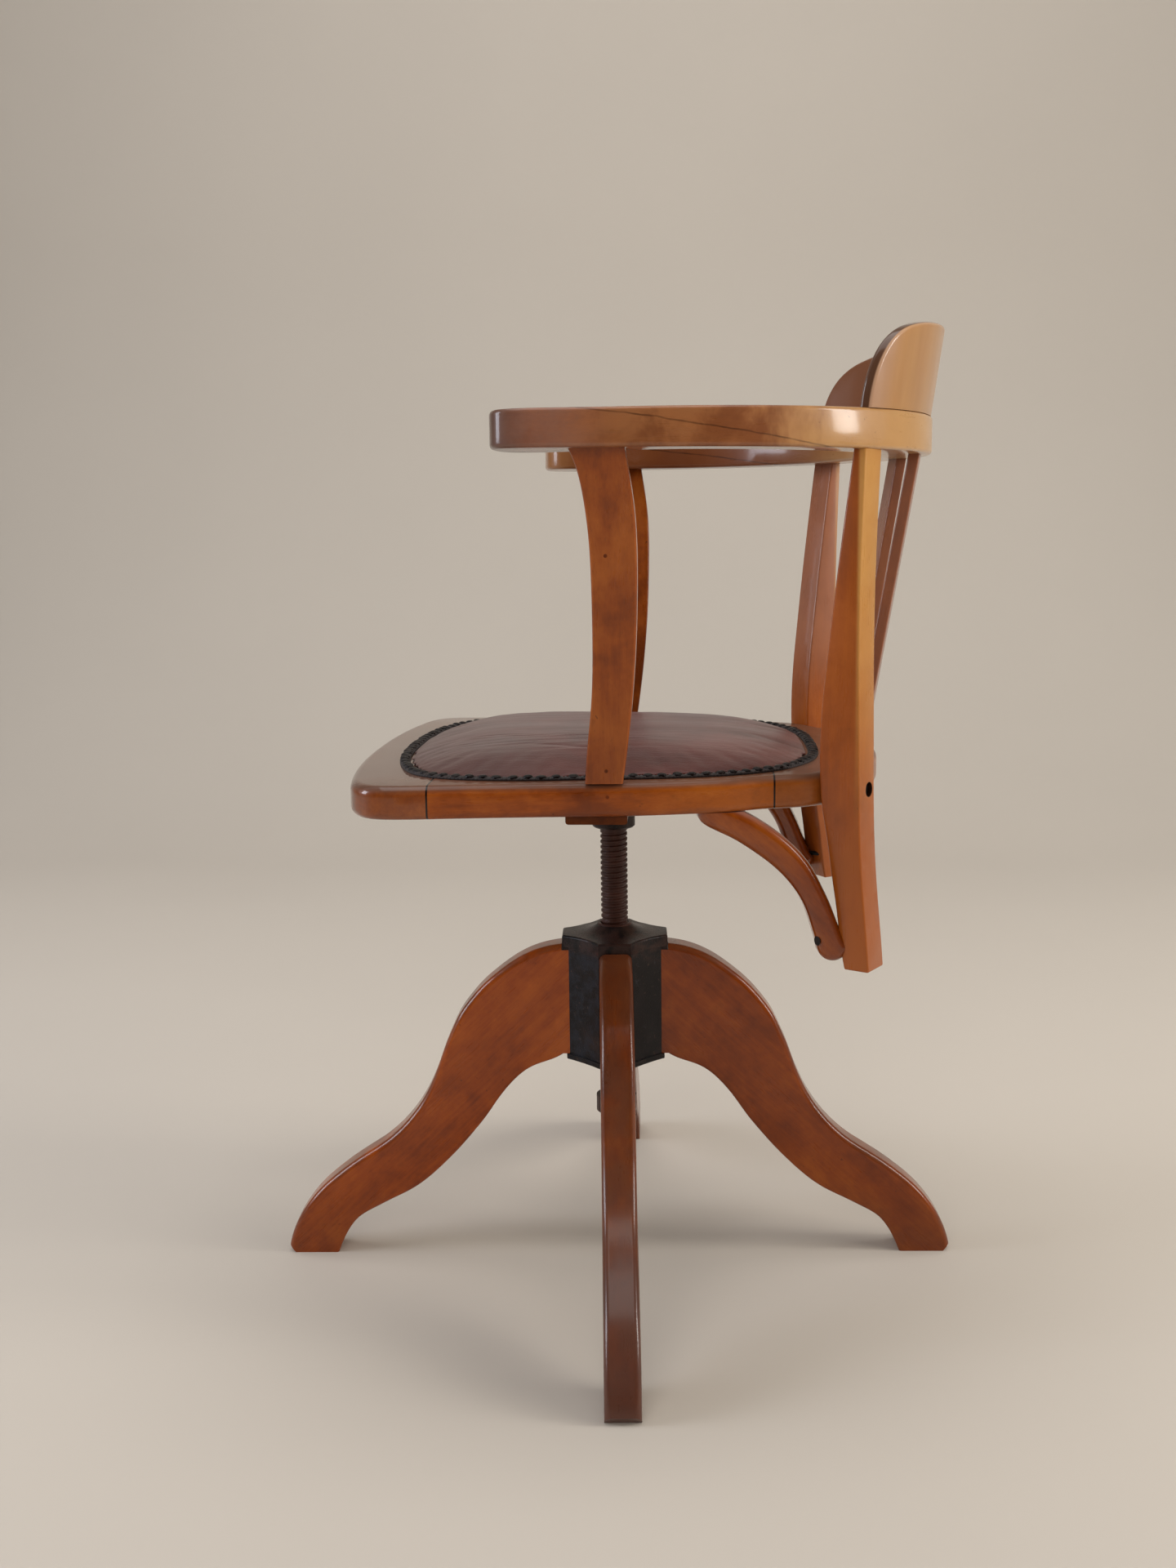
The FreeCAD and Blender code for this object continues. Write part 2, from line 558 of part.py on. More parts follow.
# ---------------------------------------------------------------- crest
r0, r1 = CREST_R0 - CREST_LEAN * 10, CREST_R0 + CREST_LEAN * 80
prof = poly_face([(r0 - CREST_T, 0, ARM_TOP - 10), (r0, 0, ARM_TOP - 10), (r1, 0, ARM_TOP + 80),
                  (r1 - CREST_T, 0, ARM_TOP + 80)])
crest = prof.revolve(O, Z, 90)
if crest.Volume < 0:
    crest.reverse()
crest.rotate(O, Z, 45)
crest_top = [(187.0, ARM_TOP), (188.0, 797.5), (185.8, 816.5), (178.8, 832.5), (166.6, 843.6),
             (146.0, 850.8), (105.5, 855.8), (51.5, 858.3), (0.0, 859.0)]
cp = list(crest_top)
cp_all = cp + [(-x, z) for x, z in reversed(cp[:-1])]
ce = [spline([(x, 120, z) for x, z in cp_all])]
ce += polyline([(cp_all[-1][0], 120, ARM_TOP), (cp_all[-1][0], 120, ARM_TOP - 10),
                (cp_all[0][0], 120, ARM_TOP - 10), (cp_all[0][0], 120, ARM_TOP)])
cutter = Part.Face(Part.Wire(ce)).extrude(V(0, 220, 0))
crest = one(crest.common(cutter))
crest = one(crest.cut(half_space(TOP_PLANE[0], (0, 0.0115, -1.0))))


def crest_edge(e):
    m = mid(e)
    return e.BoundBox.XLength > 200 and m.z > ARM_TOP + 20


crest = round_edges(crest, crest_edge, (2.8, 2.4, 2.0, 1.5))
cd = []
for a in (34, 14, -14, -34):
    r = CREST_R0 - CREST_T / 2
    x, y = r * math.sin(math.radians(a)), r * math.cos(math.radians(a))
    d = cyl((x, y, 764.0), (0, 0, 1), 2.2, 34.0)
    cd.append(d)
    crest, back = crest.cut(d), back.cut(d)
parts["crest_dowels"] = Part.makeCompound(cd)
parts["crest_rail"] = one(crest)

# ---------------------------------------------------------------- back slats
z0, z1 = RAIL_TOP, ARM_BOT
ro0, ro1 = SLAT_R0, SLAT_R0 + SLAT_LEAN * (z1 - z0)
pf = poly_face([(ro0 - SLAT_T, 0, z0), (ro0, 0, z0), (ro1, 0, z1), (ro1 - SLAT_T, 0, z1)])
rev = pf.revolve(O, Z, 30)
if rev.Volume < 0:
    rev.reverse()
rev.rotate(O, Z, 75)
slat = one(rev.common(Part.makeBox(SLAT_W, 200, 400, V(-SLAT_W / 2, 150, 440))))
slat = round_edges(slat, lambda e: e.BoundBox.ZLength > 200, (1.5, 1.0))
slat_dowels = []
for r, z in ((269.6, 740.0), (227.3, 480.0)):
    d = cyl((0, r, z), (0, 0, 1), 2.5, 25.0)
    slat = slat.cut(d)
    slat_dowels.append(d)
slat = turn(one(slat), -SLAT_ANGLE)
slat_dowels = [turn(d, -SLAT_ANGLE) for d in slat_dowels]
slat_dowels += [mirror(d) for d in slat_dowels]
for d in slat_dowels:
    back, rear_rail = back.cut(d), rear_rail.cut(d)
parts["back_slat_left"] = slat
parts["back_slat_right"] = mirror(slat)
parts["slat_dowels"] = Part.makeCompound(slat_dowels)

# ---------------------------------------------------------------- braces
br_low = [(77, 466.5), (79, 459), (88, 452), (104, 444), (122, 432.5), (140, 418.5), (154.5, 403),
          (165, 386), (171.5, 368), (176.5, 352)]
br_up = [(203.0, 352), (198.5, 358), (192.5, 371.5), (186.5, 387), (179.5, 402), (171.5, 417),
         (159.5, 432.5), (146, 445), (131, 456), (112, 466.5)]
be = [spline([(0, y, z) for y, z in br_low]),
      Part.Arc(V(0, 176.5, 352), V(0, 189.5, 338.0), V(0, 203.0, 352)).toShape(),
      spline([(0, y, z) for y, z in br_up]),
      line((0, 112, 466.5), (0, 77, 466.5))]
brace = Part.Face(Part.Wire(be)).extrude(V(-24, 0, 0))
if brace.Volume < 0:
    brace.reverse()
brace.translate(V(200, 0, 0))
brace = round_edges(brace, lambda e: abs(mid(e).z - 466.5) > 0.5 and (
    abs(mid(e).x - 200) < 0.01 or abs(mid(e).x - 176) < 0.01), (7.5, 6.5, 5.5, 4.0, 3.0, 2.0))
brace.rotate(V(200, 77, 0), Z, 7.0)
brace = brace.cut(Part.makeBox(800, 800, 20, V(-400, -400, RAIL_BOT)))
brace = one(brace.cut(post))

parts_screws = []


def wood_screw(p, d, length, rh=4.0, rs=2.1):
    d = V(*d)
    d.normalize()
    s = Part.makeCylinder(rs, length, V(*p), d).fuse(Part.makeCone(rh, rs, 2.8, V(*p), d))
    return one(s.removeSplitter())


low = wood_screw((184.5, 174.5, 356.0), (-0.55, 0.83, 0), 40.0)
up = wood_screw((184.0, 92.0, 451.0), (0, 0, 1), 26.0)
for s in (low, up):
    brace = one(brace.cut(s))
    post = one(post.cut(s))
    rail_l = rail_l.cut(s)
    rail_r = rail_r.cut(mirror(s))
brace = one(brace.cut(cyl((184.0, 92.0, 451.0), (0, 0, -1), 4.0, 20.0)))
dv = V(-0.55, 0.83, 0)
dv.normalize()
brace = one(brace.cut(Part.makeCylinder(4.0, 20.0, V(184.5, 174.5, 356.0), dv * -1)))
parts["brace_left"] = brace
parts["brace_right"] = mirror(brace)
parts["brace_screws"] = Part.makeCompound([low, up, mirror(low), mirror(up)])

# ---------------------------------------------------------------- post bolts
tau = (POST_T0 + POST_T1) / 2
tb, zb = -33.5, 480.5
hole = cyl(pt(282.0, tb, zb), (-ca, -sa, 0), 6.0, 13.0)
bolt = cyl(pt(272.0, tb, zb), (-ca, -sa, 0), 5.8, 3.2).fuse(
    cyl(pt(270.0, tb, zb), (-ca, -sa, 0), 3.0, 62.0))
bolt = one(bolt.removeSplitter())
post = one(post.cut(hole).cut(bolt))
post_r = mirror(post)
rear_rail = rear_rail.cut(bolt).cut(mirror(bolt))
parts["rear_post_bolts"] = Part.makeCompound([bolt, mirror(bolt)])

# ---------------------------------------------------------------- arm dowels
ad = []
d1 = cyl((256.5, 1.5, 738.0), (0, 0, 1), 4.5, 32.0)
d2 = cyl((208.2, 2.0, 478.0), (0, 0, 1), 4.0, 32.0)
x, y, zz = pt(270.5, tau, 742.0)
d3 = cyl((x, y, 742.0), (0, 0, 1), 3.0, 28.0)
apost = one(apost.cut(d1).cut(d2))
arm_l = one(arm_l.cut(d1))
arm_r = one(arm_r.cut(mirror(d1)))
rail_l = rail_l.cut(d2)
rail_r = rail_r.cut(mirror(d2))
post = one(post.cut(d3))
post_r = one(post_r.cut(mirror(d3)))
back = back.cut(d3).cut(mirror(d3))
arm_l, arm_r = one(arm_l.cut(d3)), one(arm_r.cut(mirror(d3)))
parts["arm_dowels"] = Part.makeCompound([d1, d2, d3, mirror(d1), mirror(d2), mirror(d3)])

parts["front_arm_post_left"] = apost
parts["front_arm_post_right"] = mirror(apost)
parts["arm_left"] = arm_l
parts["arm_right"] = arm_r
parts["arm_back_bow"] = one(back)
parts["rear_post_left"] = post
parts["rear_post_right"] = post_r
parts["front_rail"] = one(front_rail)
parts["rear_rail"] = one(rear_rail)
parts["side_rail_left"] = one(rail_l)
parts["side_rail_right"] = one(rail_r)

# ---------------------------------------------------------------- write
for name in sorted(parts):
    s = parts[name]
    b = FreeCAD.BoundBox()
    for q in s.tessellate(0.5)[0]:
        b.add(q)
    print("%-22s solids %3d valid %s vol %10.0f  z %.1f..%.1f" % (
        name, len(s.Solids), s.isValid(), s.Volume, b.ZMin, b.ZMax))
    s.exportStep("parts/%s.step" % name)
print(len(parts), "nodes")
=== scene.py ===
import bpy, bmesh, math, random
import numpy as np
from mathutils import Matrix, Vector, noise


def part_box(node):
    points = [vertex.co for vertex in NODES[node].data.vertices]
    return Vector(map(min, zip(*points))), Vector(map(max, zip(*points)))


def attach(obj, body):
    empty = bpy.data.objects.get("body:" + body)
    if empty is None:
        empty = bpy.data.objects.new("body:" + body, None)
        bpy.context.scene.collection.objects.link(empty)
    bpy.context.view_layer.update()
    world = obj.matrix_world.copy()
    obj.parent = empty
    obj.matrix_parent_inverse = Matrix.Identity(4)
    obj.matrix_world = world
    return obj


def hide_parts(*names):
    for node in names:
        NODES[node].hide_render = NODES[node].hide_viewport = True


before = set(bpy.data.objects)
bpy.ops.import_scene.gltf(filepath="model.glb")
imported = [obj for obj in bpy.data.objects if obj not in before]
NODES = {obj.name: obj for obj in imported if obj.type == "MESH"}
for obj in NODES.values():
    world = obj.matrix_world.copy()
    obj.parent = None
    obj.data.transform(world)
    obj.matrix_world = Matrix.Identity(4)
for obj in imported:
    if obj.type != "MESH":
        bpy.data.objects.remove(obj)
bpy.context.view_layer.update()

scene = bpy.context.scene
scene.view_settings.view_transform = "Standard"
scene.view_settings.look = "None"


# ============================================================ camera
def make_camera():
    pos = Vector((1.4706, 0.0633, 0.6991))
    yaw, pitch, roll = math.radians(3.38), math.radians(9.33), math.radians(-0.74)
    fwd = Vector((-math.cos(yaw) * math.cos(pitch), -math.sin(yaw) * math.cos(pitch), -math.sin(pitch)))
    right = Vector((-math.sin(yaw), math.cos(yaw), 0))
    up = right.cross(fwd)
    r = math.cos(roll) * right + math.sin(roll) * up
    u = -math.sin(roll) * right + math.cos(roll) * up
    cam = bpy.data.cameras.new("camera")
    ob = bpy.data.objects.new("camera", cam)
    scene.collection.objects.link(ob)
    rot = Matrix((r, u, -fwd)).transposed().to_4x4()
    ob.matrix_world = Matrix.Translation(pos) @ rot
    cam.sensor_fit = "VERTICAL"
    cam.sensor_height = 36.0
    cam.lens = 36.0 * 1958.41 / 1920.0
    cam.clip_end = 100
    scene.camera = ob


make_camera()


# ============================================================ stage and light
def area(name, loc, target, size, power, color, size_y=None):
    d = bpy.data.lights.new(name, "AREA")
    d.energy, d.color = power, color
    d.shape = "RECTANGLE"
    d.size, d.size_y = size, size_y or size
    o = bpy.data.objects.new(name, d)
    o.location = loc
    o.rotation_euler = (Vector(target) - Vector(loc)).to_track_quat("-Z", "Y").to_euler()
    scene.collection.objects.link(o)
    return o


def stage_material(name, col, rough):
    m = bpy.data.materials.new(name)
    m.use_nodes = True
    t = m.node_tree
    b = t.nodes["Principled BSDF"]
    tc = t.nodes.new("ShaderNodeTexCoord")
    n = t.nodes.new("ShaderNodeTexNoise")
    n.inputs["Scale"].default_value = 1.6
    n.inputs["Detail"].default_value = 3
    t.links.new(tc.outputs["Object"], n.inputs["Vector"])
    r = t.nodes.new("ShaderNodeValToRGB")
    r.color_ramp.elements[0].color = (*[c * 0.97 for c in col], 1)
    r.color_ramp.elements[1].color = (*[min(1, c * 1.03) for c in col], 1)
    t.links.new(n.outputs["Fac"], r.inputs["Fac"])
    t.links.new(r.outputs["Color"], b.inputs["Base Color"])
    b.inputs["Roughness"].default_value = rough
    b.inputs["Specular IOR Level"].default_value = 0.25
    return m


def make_stage():
    # floor that turns up into a wall behind the chair
    x0, rad = -1.75, 1.5
    pts = [(7.0, 0.0), (x0, 0.0)]
    for k in range(1, 25):
        a = math.radians(90 * k / 24)
        pts.append((x0 - rad * math.sin(a), rad - rad * math.cos(a)))
    pts.append((x0 - rad, 7.0))
    me = bpy.data.meshes.new("studio_floor")
    v, f = [], []
    for x, z in pts:
        v += [(x, -9.0, z), (x, 9.0, z)]
    for i in range(len(pts) - 1):
        f.append((2 * i, 2 * i + 1, 2 * i + 3, 2 * i + 2))
    me.from_pydata(v, [], f)
    me.polygons.foreach_set("use_smooth", [True] * len(me.polygons))
    o = bpy.data.objects.new("studio_floor", me)
    scene.collection.objects.link(o)
    me.materials.append(stage_material("studio_pale", (0.52, 0.475, 0.42), 0.7))
    w = bpy.data.worlds.new("studio")
    scene.world = w
    w.use_nodes = True
    t = w.node_tree
    bg = t.nodes["Background"]
    # soft surround, dimmer towards +X
    tc = t.nodes.new("ShaderNodeTexCoord")
    sep = t.nodes.new("ShaderNodeSeparateXYZ")
    mr = t.nodes.new("ShaderNodeMapRange")
    mr.inputs["From Min"].default_value = -0.2
    mr.inputs["From Max"].default_value = 0.8
    mr.inputs["To Min"].default_value = 0.42
    mr.inputs["To Max"].default_value = 0.03
    t.links.new(tc.outputs["Generated"], sep.inputs[0])
    t.links.new(sep.outputs[0], mr.inputs["Value"])
    t.links.new(mr.outputs[0], bg.inputs[1])
    bg.inputs[0].default_value = (1.0, 0.97, 0.95, 1)
    area("window_left", (0.5, -3.0, 1.45), (0, 0, 0.55), 1.1, 46, (0.84, 0.89, 1.0), 1.5)
    area("window_right", (0.25, 3.0, 1.50), (0, 0, 0.60), 0.6, 34, (1.0, 0.97, 0.93), 1.5)
    area("ceiling", (0.2, 0.0, 3.4), (0, 0, 0.3), 2.6, 34, (1.0, 0.98, 0.96), 2.6)
    for name, loc, size, power, col in (
            ("soft_front", (3.3, -0.5, 1.7), 2.2, 43, (1.0, 0.95, 0.88)),
            ("soft_right", (0.9, 3.2, 1.9), 1.8, 46, (1.0, 0.94, 0.82))):
        o = area(name, loc, (0, 0, 0.45), size, power, col, size * 0.8)
        o.visible_glossy = False
    o = area("wall_wash", (-0.9, 0.0, 3.6), (-3.0, 0, 0.9), 3.5, 42, (1.0, 0.97, 0.94), 1.6)
    o.visible_glossy = False


make_stage()


# ============================================================ material kit
class Mat:
    """A procedural material put together from nodes, in the chair's own coordinates."""

    def __init__(self, name):
        self.m = bpy.data.materials.new(name)
        self.m.use_nodes = True
        self.t = self.m.node_tree
        self.t.nodes.clear()
        out = self.n("ShaderNodeOutputMaterial")
        self.b = self.n("ShaderNodeBsdfPrincipled")
        self.l(self.b.outputs[0], out.inputs[0])
        self.p = self.n("ShaderNodeTexCoord").outputs["Object"]
        sep = self.n("ShaderNodeSeparateXYZ")
        self.l(self.p, sep.inputs[0])
        self.x, self.y, self.z = sep.outputs

    def n(self, kind, **kw):
        node = self.t.nodes.new(kind)
        for k, v in kw.items():
            setattr(node, k, v)
        return node

    def l(self, a, b):
        self.t.links.new(a, b)

    def put(self, sock, v):
        if isinstance(v, (int, float)):
            sock.default_value = v
        elif isinstance(v, (tuple, list, Vector)):
            sock.default_value = (*v, 1) if len(v) == 3 and len(sock.default_value) == 4 else tuple(v)
        else:
            self.l(v, sock)

    def math(self, op, a, b=None, c=None, clamp=False):
        n = self.n("ShaderNodeMath", operation=op, use_clamp=clamp)
        self.put(n.inputs[0], a)
        if b is not None:
            self.put(n.inputs[1], b)
        if c is not None:
            self.put(n.inputs[2], c)
        return n.outputs[0]

    def vmath(self, op, a, b=None):
        n = self.n("ShaderNodeVectorMath", operation=op)
        self.put(n.inputs[0], a)
        if b is not None:
            self.put(n.inputs[1], b)
        return n.outputs["Value"] if op in ("DOT_PRODUCT", "LENGTH", "DISTANCE") else n.outputs[0]

    def xyz(self, x, y, z):
        n = self.n("ShaderNodeCombineXYZ")
        for s, v in zip(n.inputs, (x, y, z)):
            self.put(s, v)
        return n.outputs[0]

    def noise(self, vec, scale=1.0, detail=2.0, rough=0.5, dist=0.0, color=False):
        n = self.n("ShaderNodeTexNoise")
        self.put(n.inputs["Vector"], vec)
        n.inputs["Scale"].default_value = scale
        n.inputs["Detail"].default_value = detail
        n.inputs["Roughness"].default_value = rough
        n.inputs["Distortion"].default_value = dist
        return n.outputs["Color" if color else "Fac"]

    def voronoi(self, vec, scale=1.0, feature="F1", rand=1.0):
        n = self.n("ShaderNodeTexVoronoi", feature=feature)
        self.put(n.inputs["Vector"], vec)
        n.inputs["Scale"].default_value = scale
        n.inputs["Randomness"].default_value = rand
        return n.outputs["Distance"]

    def ramp(self, fac, stops, mode="LINEAR"):
        n = self.n("ShaderNodeValToRGB")
        self.put(n.inputs["Fac"], fac)
        r = n.color_ramp
        r.interpolation = mode
        while len(r.elements) < len(stops):
            r.elements.new(0.5)
        for e, (pos, col) in zip(r.elements, stops):
            e.position = pos
            e.color = (*col, 1) if isinstance(col, (tuple, list)) else (col, col, col, 1)
        return n.outputs["Color"]

    def mix(self, fac, a, b, mode="MIX"):
        n = self.n("ShaderNodeMix", data_type="RGBA", blend_type=mode)
        n.clamp_factor = True
        self.put(n.inputs["Factor"], fac)
        self.put(n.inputs[6], a)
        self.put(n.inputs[7], b)
        return n.outputs[2]

    def step(self, v, lo, hi):
        """0 below lo, 1 above hi, smooth between; reversed when lo is above hi."""
        n = self.n("ShaderNodeMapRange", interpolation_type="SMOOTHSTEP")
        self.put(n.inputs["Value"], v)
        a, b, flip = (lo, hi, False) if lo < hi else (hi, lo, True)
        n.inputs["From Min"].default_value = a
        n.inputs["From Max"].default_value = b
        n.inputs["To Min"].default_value = 1.0 if flip else 0.0
        n.inputs["To Max"].default_value = 0.0 if flip else 1.0
        return n.outputs[0]

    def bump(self, height, strength, distance, normal=None):
        n = self.n("ShaderNodeBump")
        n.inputs["Strength"].default_value = strength
        n.inputs["Distance"].default_value = distance
        self.put(n.inputs["Height"], height)
        if normal is not None:
            self.l(normal, n.inputs["Normal"])
        return n.outputs[0]

    def spot(self, centre, radius, soft=0.5, squash=(1, 1, 1)):
        """1 inside a soft ball about a point of the chair, 0 outside."""
        d = self.vmath("SUBTRACT", self.p, centre)
        d = self.vmath("MULTIPLY", d, squash)
        return self.step(self.vmath("LENGTH", d), radius, radius * soft)


# beech under old stain and shellac, linear colours
DEEP = (0.055, 0.011, 0.002)
DARK = (0.150, 0.028, 0.002)
MID = (0.245, 0.050, 0.003)
LIGHT = (0.340, 0.085, 0.008)
GOLD = (0.480, 0.262, 0.100)


def shade(tone, k):
    return tuple(tuple(c * k for c in t) for t in tone)


def frame_vectors(g):
    g = Vector(g).normalized()
    a = g.cross(Vector((0, 0, 1)))
    if a.length < 0.2:
        a = g.cross(Vector((0, 1, 0)))
    a.normalize()
    return g, a, g.cross(a).normalized()


def wood(name, grain=(1, 0, 0), seed=0.0, polar=False, tone=(DARK, MID, LIGHT), rough=0.30,
         spread=0.16, coat=0.45, coat_rough=0.12, figure=0.6, tint=None, planes=(), scarf=False, speck=1.0, relief=1.0, cloud=0.88):
    """Stained beech: grain along one direction, or round the screw's axis when polar."""
    k = Mat(name)
    if polar:
        ang = k.math("ARCTAN2", k.x, k.y)
        u = k.math("MULTIPLY", ang, 0.27)
        v = k.math("SQRT", k.math("ADD", k.math("MULTIPLY", k.x, k.x), k.math("MULTIPLY", k.y, k.y)))
        w = k.z
    else:
        g, a, b = frame_vectors(grain)
        u, v, w = (k.vmath("DOT_PRODUCT", k.p, tuple(q)) for q in (g, a, b))
    u = k.math("ADD", u, seed * 1.37)
    v = k.math("ADD", v, seed * 0.71)
    w = k.math("ADD", w, seed * 0.43)

    def at(su, sv, sw):
        return k.xyz(k.math("MULTIPLY", u, su), k.math("MULTIPLY", v, sv), k.math("MULTIPLY", w, sw))

    def centred(value, gain):
        return k.math("MULTIPLY", k.math("SUBTRACT", value, 0.5), gain)

    # a slow bend of the grain
    warp = k.noise(at(5, 9, 9), 1.0, 2.0, 0.5)
    wv = k.math("ADD", k.math("MULTIPLY", v, 1.0), k.math("MULTIPLY", warp, 0.010))
    broad = k.noise(k.xyz(k.math("MULTIPLY", u, 2.2), k.math("MULTIPLY", wv, 38), k.math("MULTIPLY", w, 38)),
                    1.0, 3.0, 0.55, 0.6)
    streak = k.noise(k.xyz(k.math("MULTIPLY", u, 11), k.math("MULTIPLY", wv, 330), k.math("MULTIPLY", w, 330)),
                     1.0, 4.0, 0.6)
    fine = k.noise(k.xyz(k.math("MULTIPLY", u, 55), k.math("MULTIPLY", wv, 1500), k.math("MULTIPLY", w, 1500)),
                   1.0, 2.0, 0.5)
    fleck = k.noise(k.xyz(k.math("MULTIPLY", u, 150), k.math("MULTIPLY", v, 700), k.math("MULTIPLY", w, 700)),
                    1.0, 2.0, 0.5)
    blotch = k.noise(at(11, 15, 15), 1.0, 4.0, 0.6, 0.4)
    mottle = k.noise(at(55, 80, 80), 1.0, 3.0, 0.6)
    dots = k.noise(at(170, 210, 210), 1.0, 2.0, 0.5)
    h = k.math("ADD", centred(broad, 0.50 * figure), centred(streak, 0.40 * figure))
    h = k.math("ADD", h, centred(fine, 0.22 * figure))
    h = k.math("ADD", h, centred(blotch, cloud))
    h = k.math("ADD", h, centred(mottle, 0.34))
    h = k.math("ADD", h, 0.5)
    col = k.ramp(h, [(0.34, tone[0]), (0.50, tone[1]), (0.68, tone[2])])
    col = k.mix(k.math("MULTIPLY", k.step(fleck, 0.60, 0.72), 0.28 * speck), col, tuple(c * 0.5 for c in tone[1]))
    col = k.mix(k.math("MULTIPLY", k.step(mottle, 0.60, 0.76), 0.30 * speck), col, tuple(c * 0.6 for c in tone[0]))
    col = k.mix(k.math("MULTIPLY", k.step(dots, 0.73, 0.80), 0.65 * speck), col, tuple(c * 0.25 for c in tone[0]))
    dull = 0.0
    if tint:
        out = tint(k, col)
        col, dull = out if isinstance(out, tuple) else (out, 0.0)
    for normal, d, half in planes:
        dist = k.math("ABSOLUTE", k.math("SUBTRACT", k.vmath("DOT_PRODUCT", k.p, normal), d))
        col = k.mix(k.step(dist, half, half * 0.45), col, (0.006, 0.002, 0.001))
    if scarf:
        # the glue line of the long scarf joint, dark and a little uneven
        us = k.math("ADD", k.math("MULTIPLY", k.math("ABSOLUTE", k.x), SCARF_U[0]), k.math("MULTIPLY", k.y, SCARF_U[1]))
        q = k.math("ADD", k.z, k.math("MULTIPLY", us, 0.1407))
        wob = k.math("MULTIPLY", k.math("SUBTRACT", k.noise(k.p, 24, 3, 0.6), 0.5), 0.0042)
        q = k.math("ABSOLUTE", k.math("ADD", k.math("SUBTRACT", q, 0.76495), wob))
        line = k.step(q, 0.00095, 0.00020)
        line = k.math("MULTIPLY", line, k.math("ADD", k.math("MULTIPLY", k.noise(k.p, 70, 2, 0.5), 0.8), 0.10), clamp=True)
        col = k.mix(line, col, (0.020, 0.007, 0.003))
    k.put(k.b.inputs["Base Color"], col)
    smear = k.noise(at(16, 42, 42), 1.0, 4.0, 0.65)
    scratch = k.noise(at(40, 700, 700), 1.0, 2.0, 0.5)
    r = k.math("ADD", k.math("MULTIPLY", smear, spread * 1.3), k.math("MULTIPLY", scratch, spread * 0.5))
    r = k.math("ADD", r, rough - spread * 0.9)
    k.put(k.b.inputs["Roughness"], k.math("ADD", r, k.math("MULTIPLY", dull, 0.22)) if tint else r)
    ding = k.step(k.noise(at(34, 44, 44), 1.0, 2.0, 0.5), 0.70, 0.78)
    height = k.math("ADD", k.math("MULTIPLY", fine, 0.30), k.math("MULTIPLY", streak, 0.6))
    height = k.math("SUBTRACT", height, k.math("MULTIPLY", ding, 1.8 * min(1.0, speck + 0.1)))
    height = k.math("ADD", height, k.math("MULTIPLY", k.noise(at(22, 60, 60), 1.0, 2.0, 0.5), 1.2))
    k.put(k.b.inputs["Normal"], k.bump(height, 0.28 * relief, 0.00022))
    k.b.inputs["Specular IOR Level"].default_value = 0.20
    k.b.inputs["Coat Weight"].default_value = coat
    k.b.inputs["Coat Roughness"].default_value = coat_rough
    k.b.inputs["Coat IOR"].default_value = 1.46
    return k.m


def iron(name, base, rust, amount, rough=0.5, metal=0.35, seed=0.0, blue=0.0, fleck=0.5, spec=0.5,
         sided=False):
    k = Mat(name)
    p = k.vmath("ADD", k.p, (seed, seed * 0.7, seed * 0.3))
    big = k.noise(p, 26, 4, 0.6, 0.4)
    grit = k.noise(p, 620, 4, 0.7)
    pit = k.voronoi(p, 340)
    col = k.mix(k.step(big, 0.42, 0.66), base, tuple(c * 1.8 + blue for c in base))
    col = k.mix(k.math("MULTIPLY", k.step(k.math("ADD", big, k.math("MULTIPLY", grit, 0.5)), 0.80, 1.02), amount),
                col, rust)
    col = k.mix(k.math("MULTIPLY", k.step(grit, 0.60, 0.72), fleck), col, (0.040, 0.037, 0.041))
    scuff = k.step(k.noise(k.p, 150, 3, 0.7), 0.66, 0.74)
    col = k.mix(k.math("MULTIPLY", scuff, fleck * 0.6), col, (0.052, 0.054, 0.066))
    if sided:
        patch = k.noise(p, 90, 4, 0.65)
        # painted reflection: bluish patches on the -Y side stand in for the cold light reflected there
        blue_reflection = k.math("MULTIPLY", k.step(k.y, 0.004, -0.012), k.step(patch, 0.40, 0.62))
        col = k.mix(k.math("MULTIPLY", blue_reflection, 0.75), col, (0.0130, 0.0150, 0.0215))
        warm = k.math("MULTIPLY", k.step(k.z, 0.299, 0.304), k.step(patch, 0.35, 0.60))
        col = k.mix(k.math("MULTIPLY", warm, 0.70), col, (0.034, 0.016, 0.012))
        chip = k.step(k.noise(p, 230, 3, 0.65), 0.64, 0.70)
        col = k.mix(k.math("MULTIPLY", chip, 0.55), col, (0.060, 0.034, 0.024))
    k.put(k.b.inputs["Base Color"], col)
    k.put(k.b.inputs["Roughness"], k.math("ADD", k.math("MULTIPLY", grit, 0.35), rough - 0.17))
    k.b.inputs["Metallic"].default_value = metal
    k.b.inputs["Specular IOR Level"].default_value = spec
    h = k.math("ADD", k.math("MULTIPLY", grit, 0.6), k.math("MULTIPLY", k.step(pit, 0.0, 0.35), 0.5))
    h = k.math("ADD", h, k.math("MULTIPLY", big, 1.2))
    k.put(k.b.inputs["Normal"], k.bump(h, 0.45, 0.0006))
    return k.m


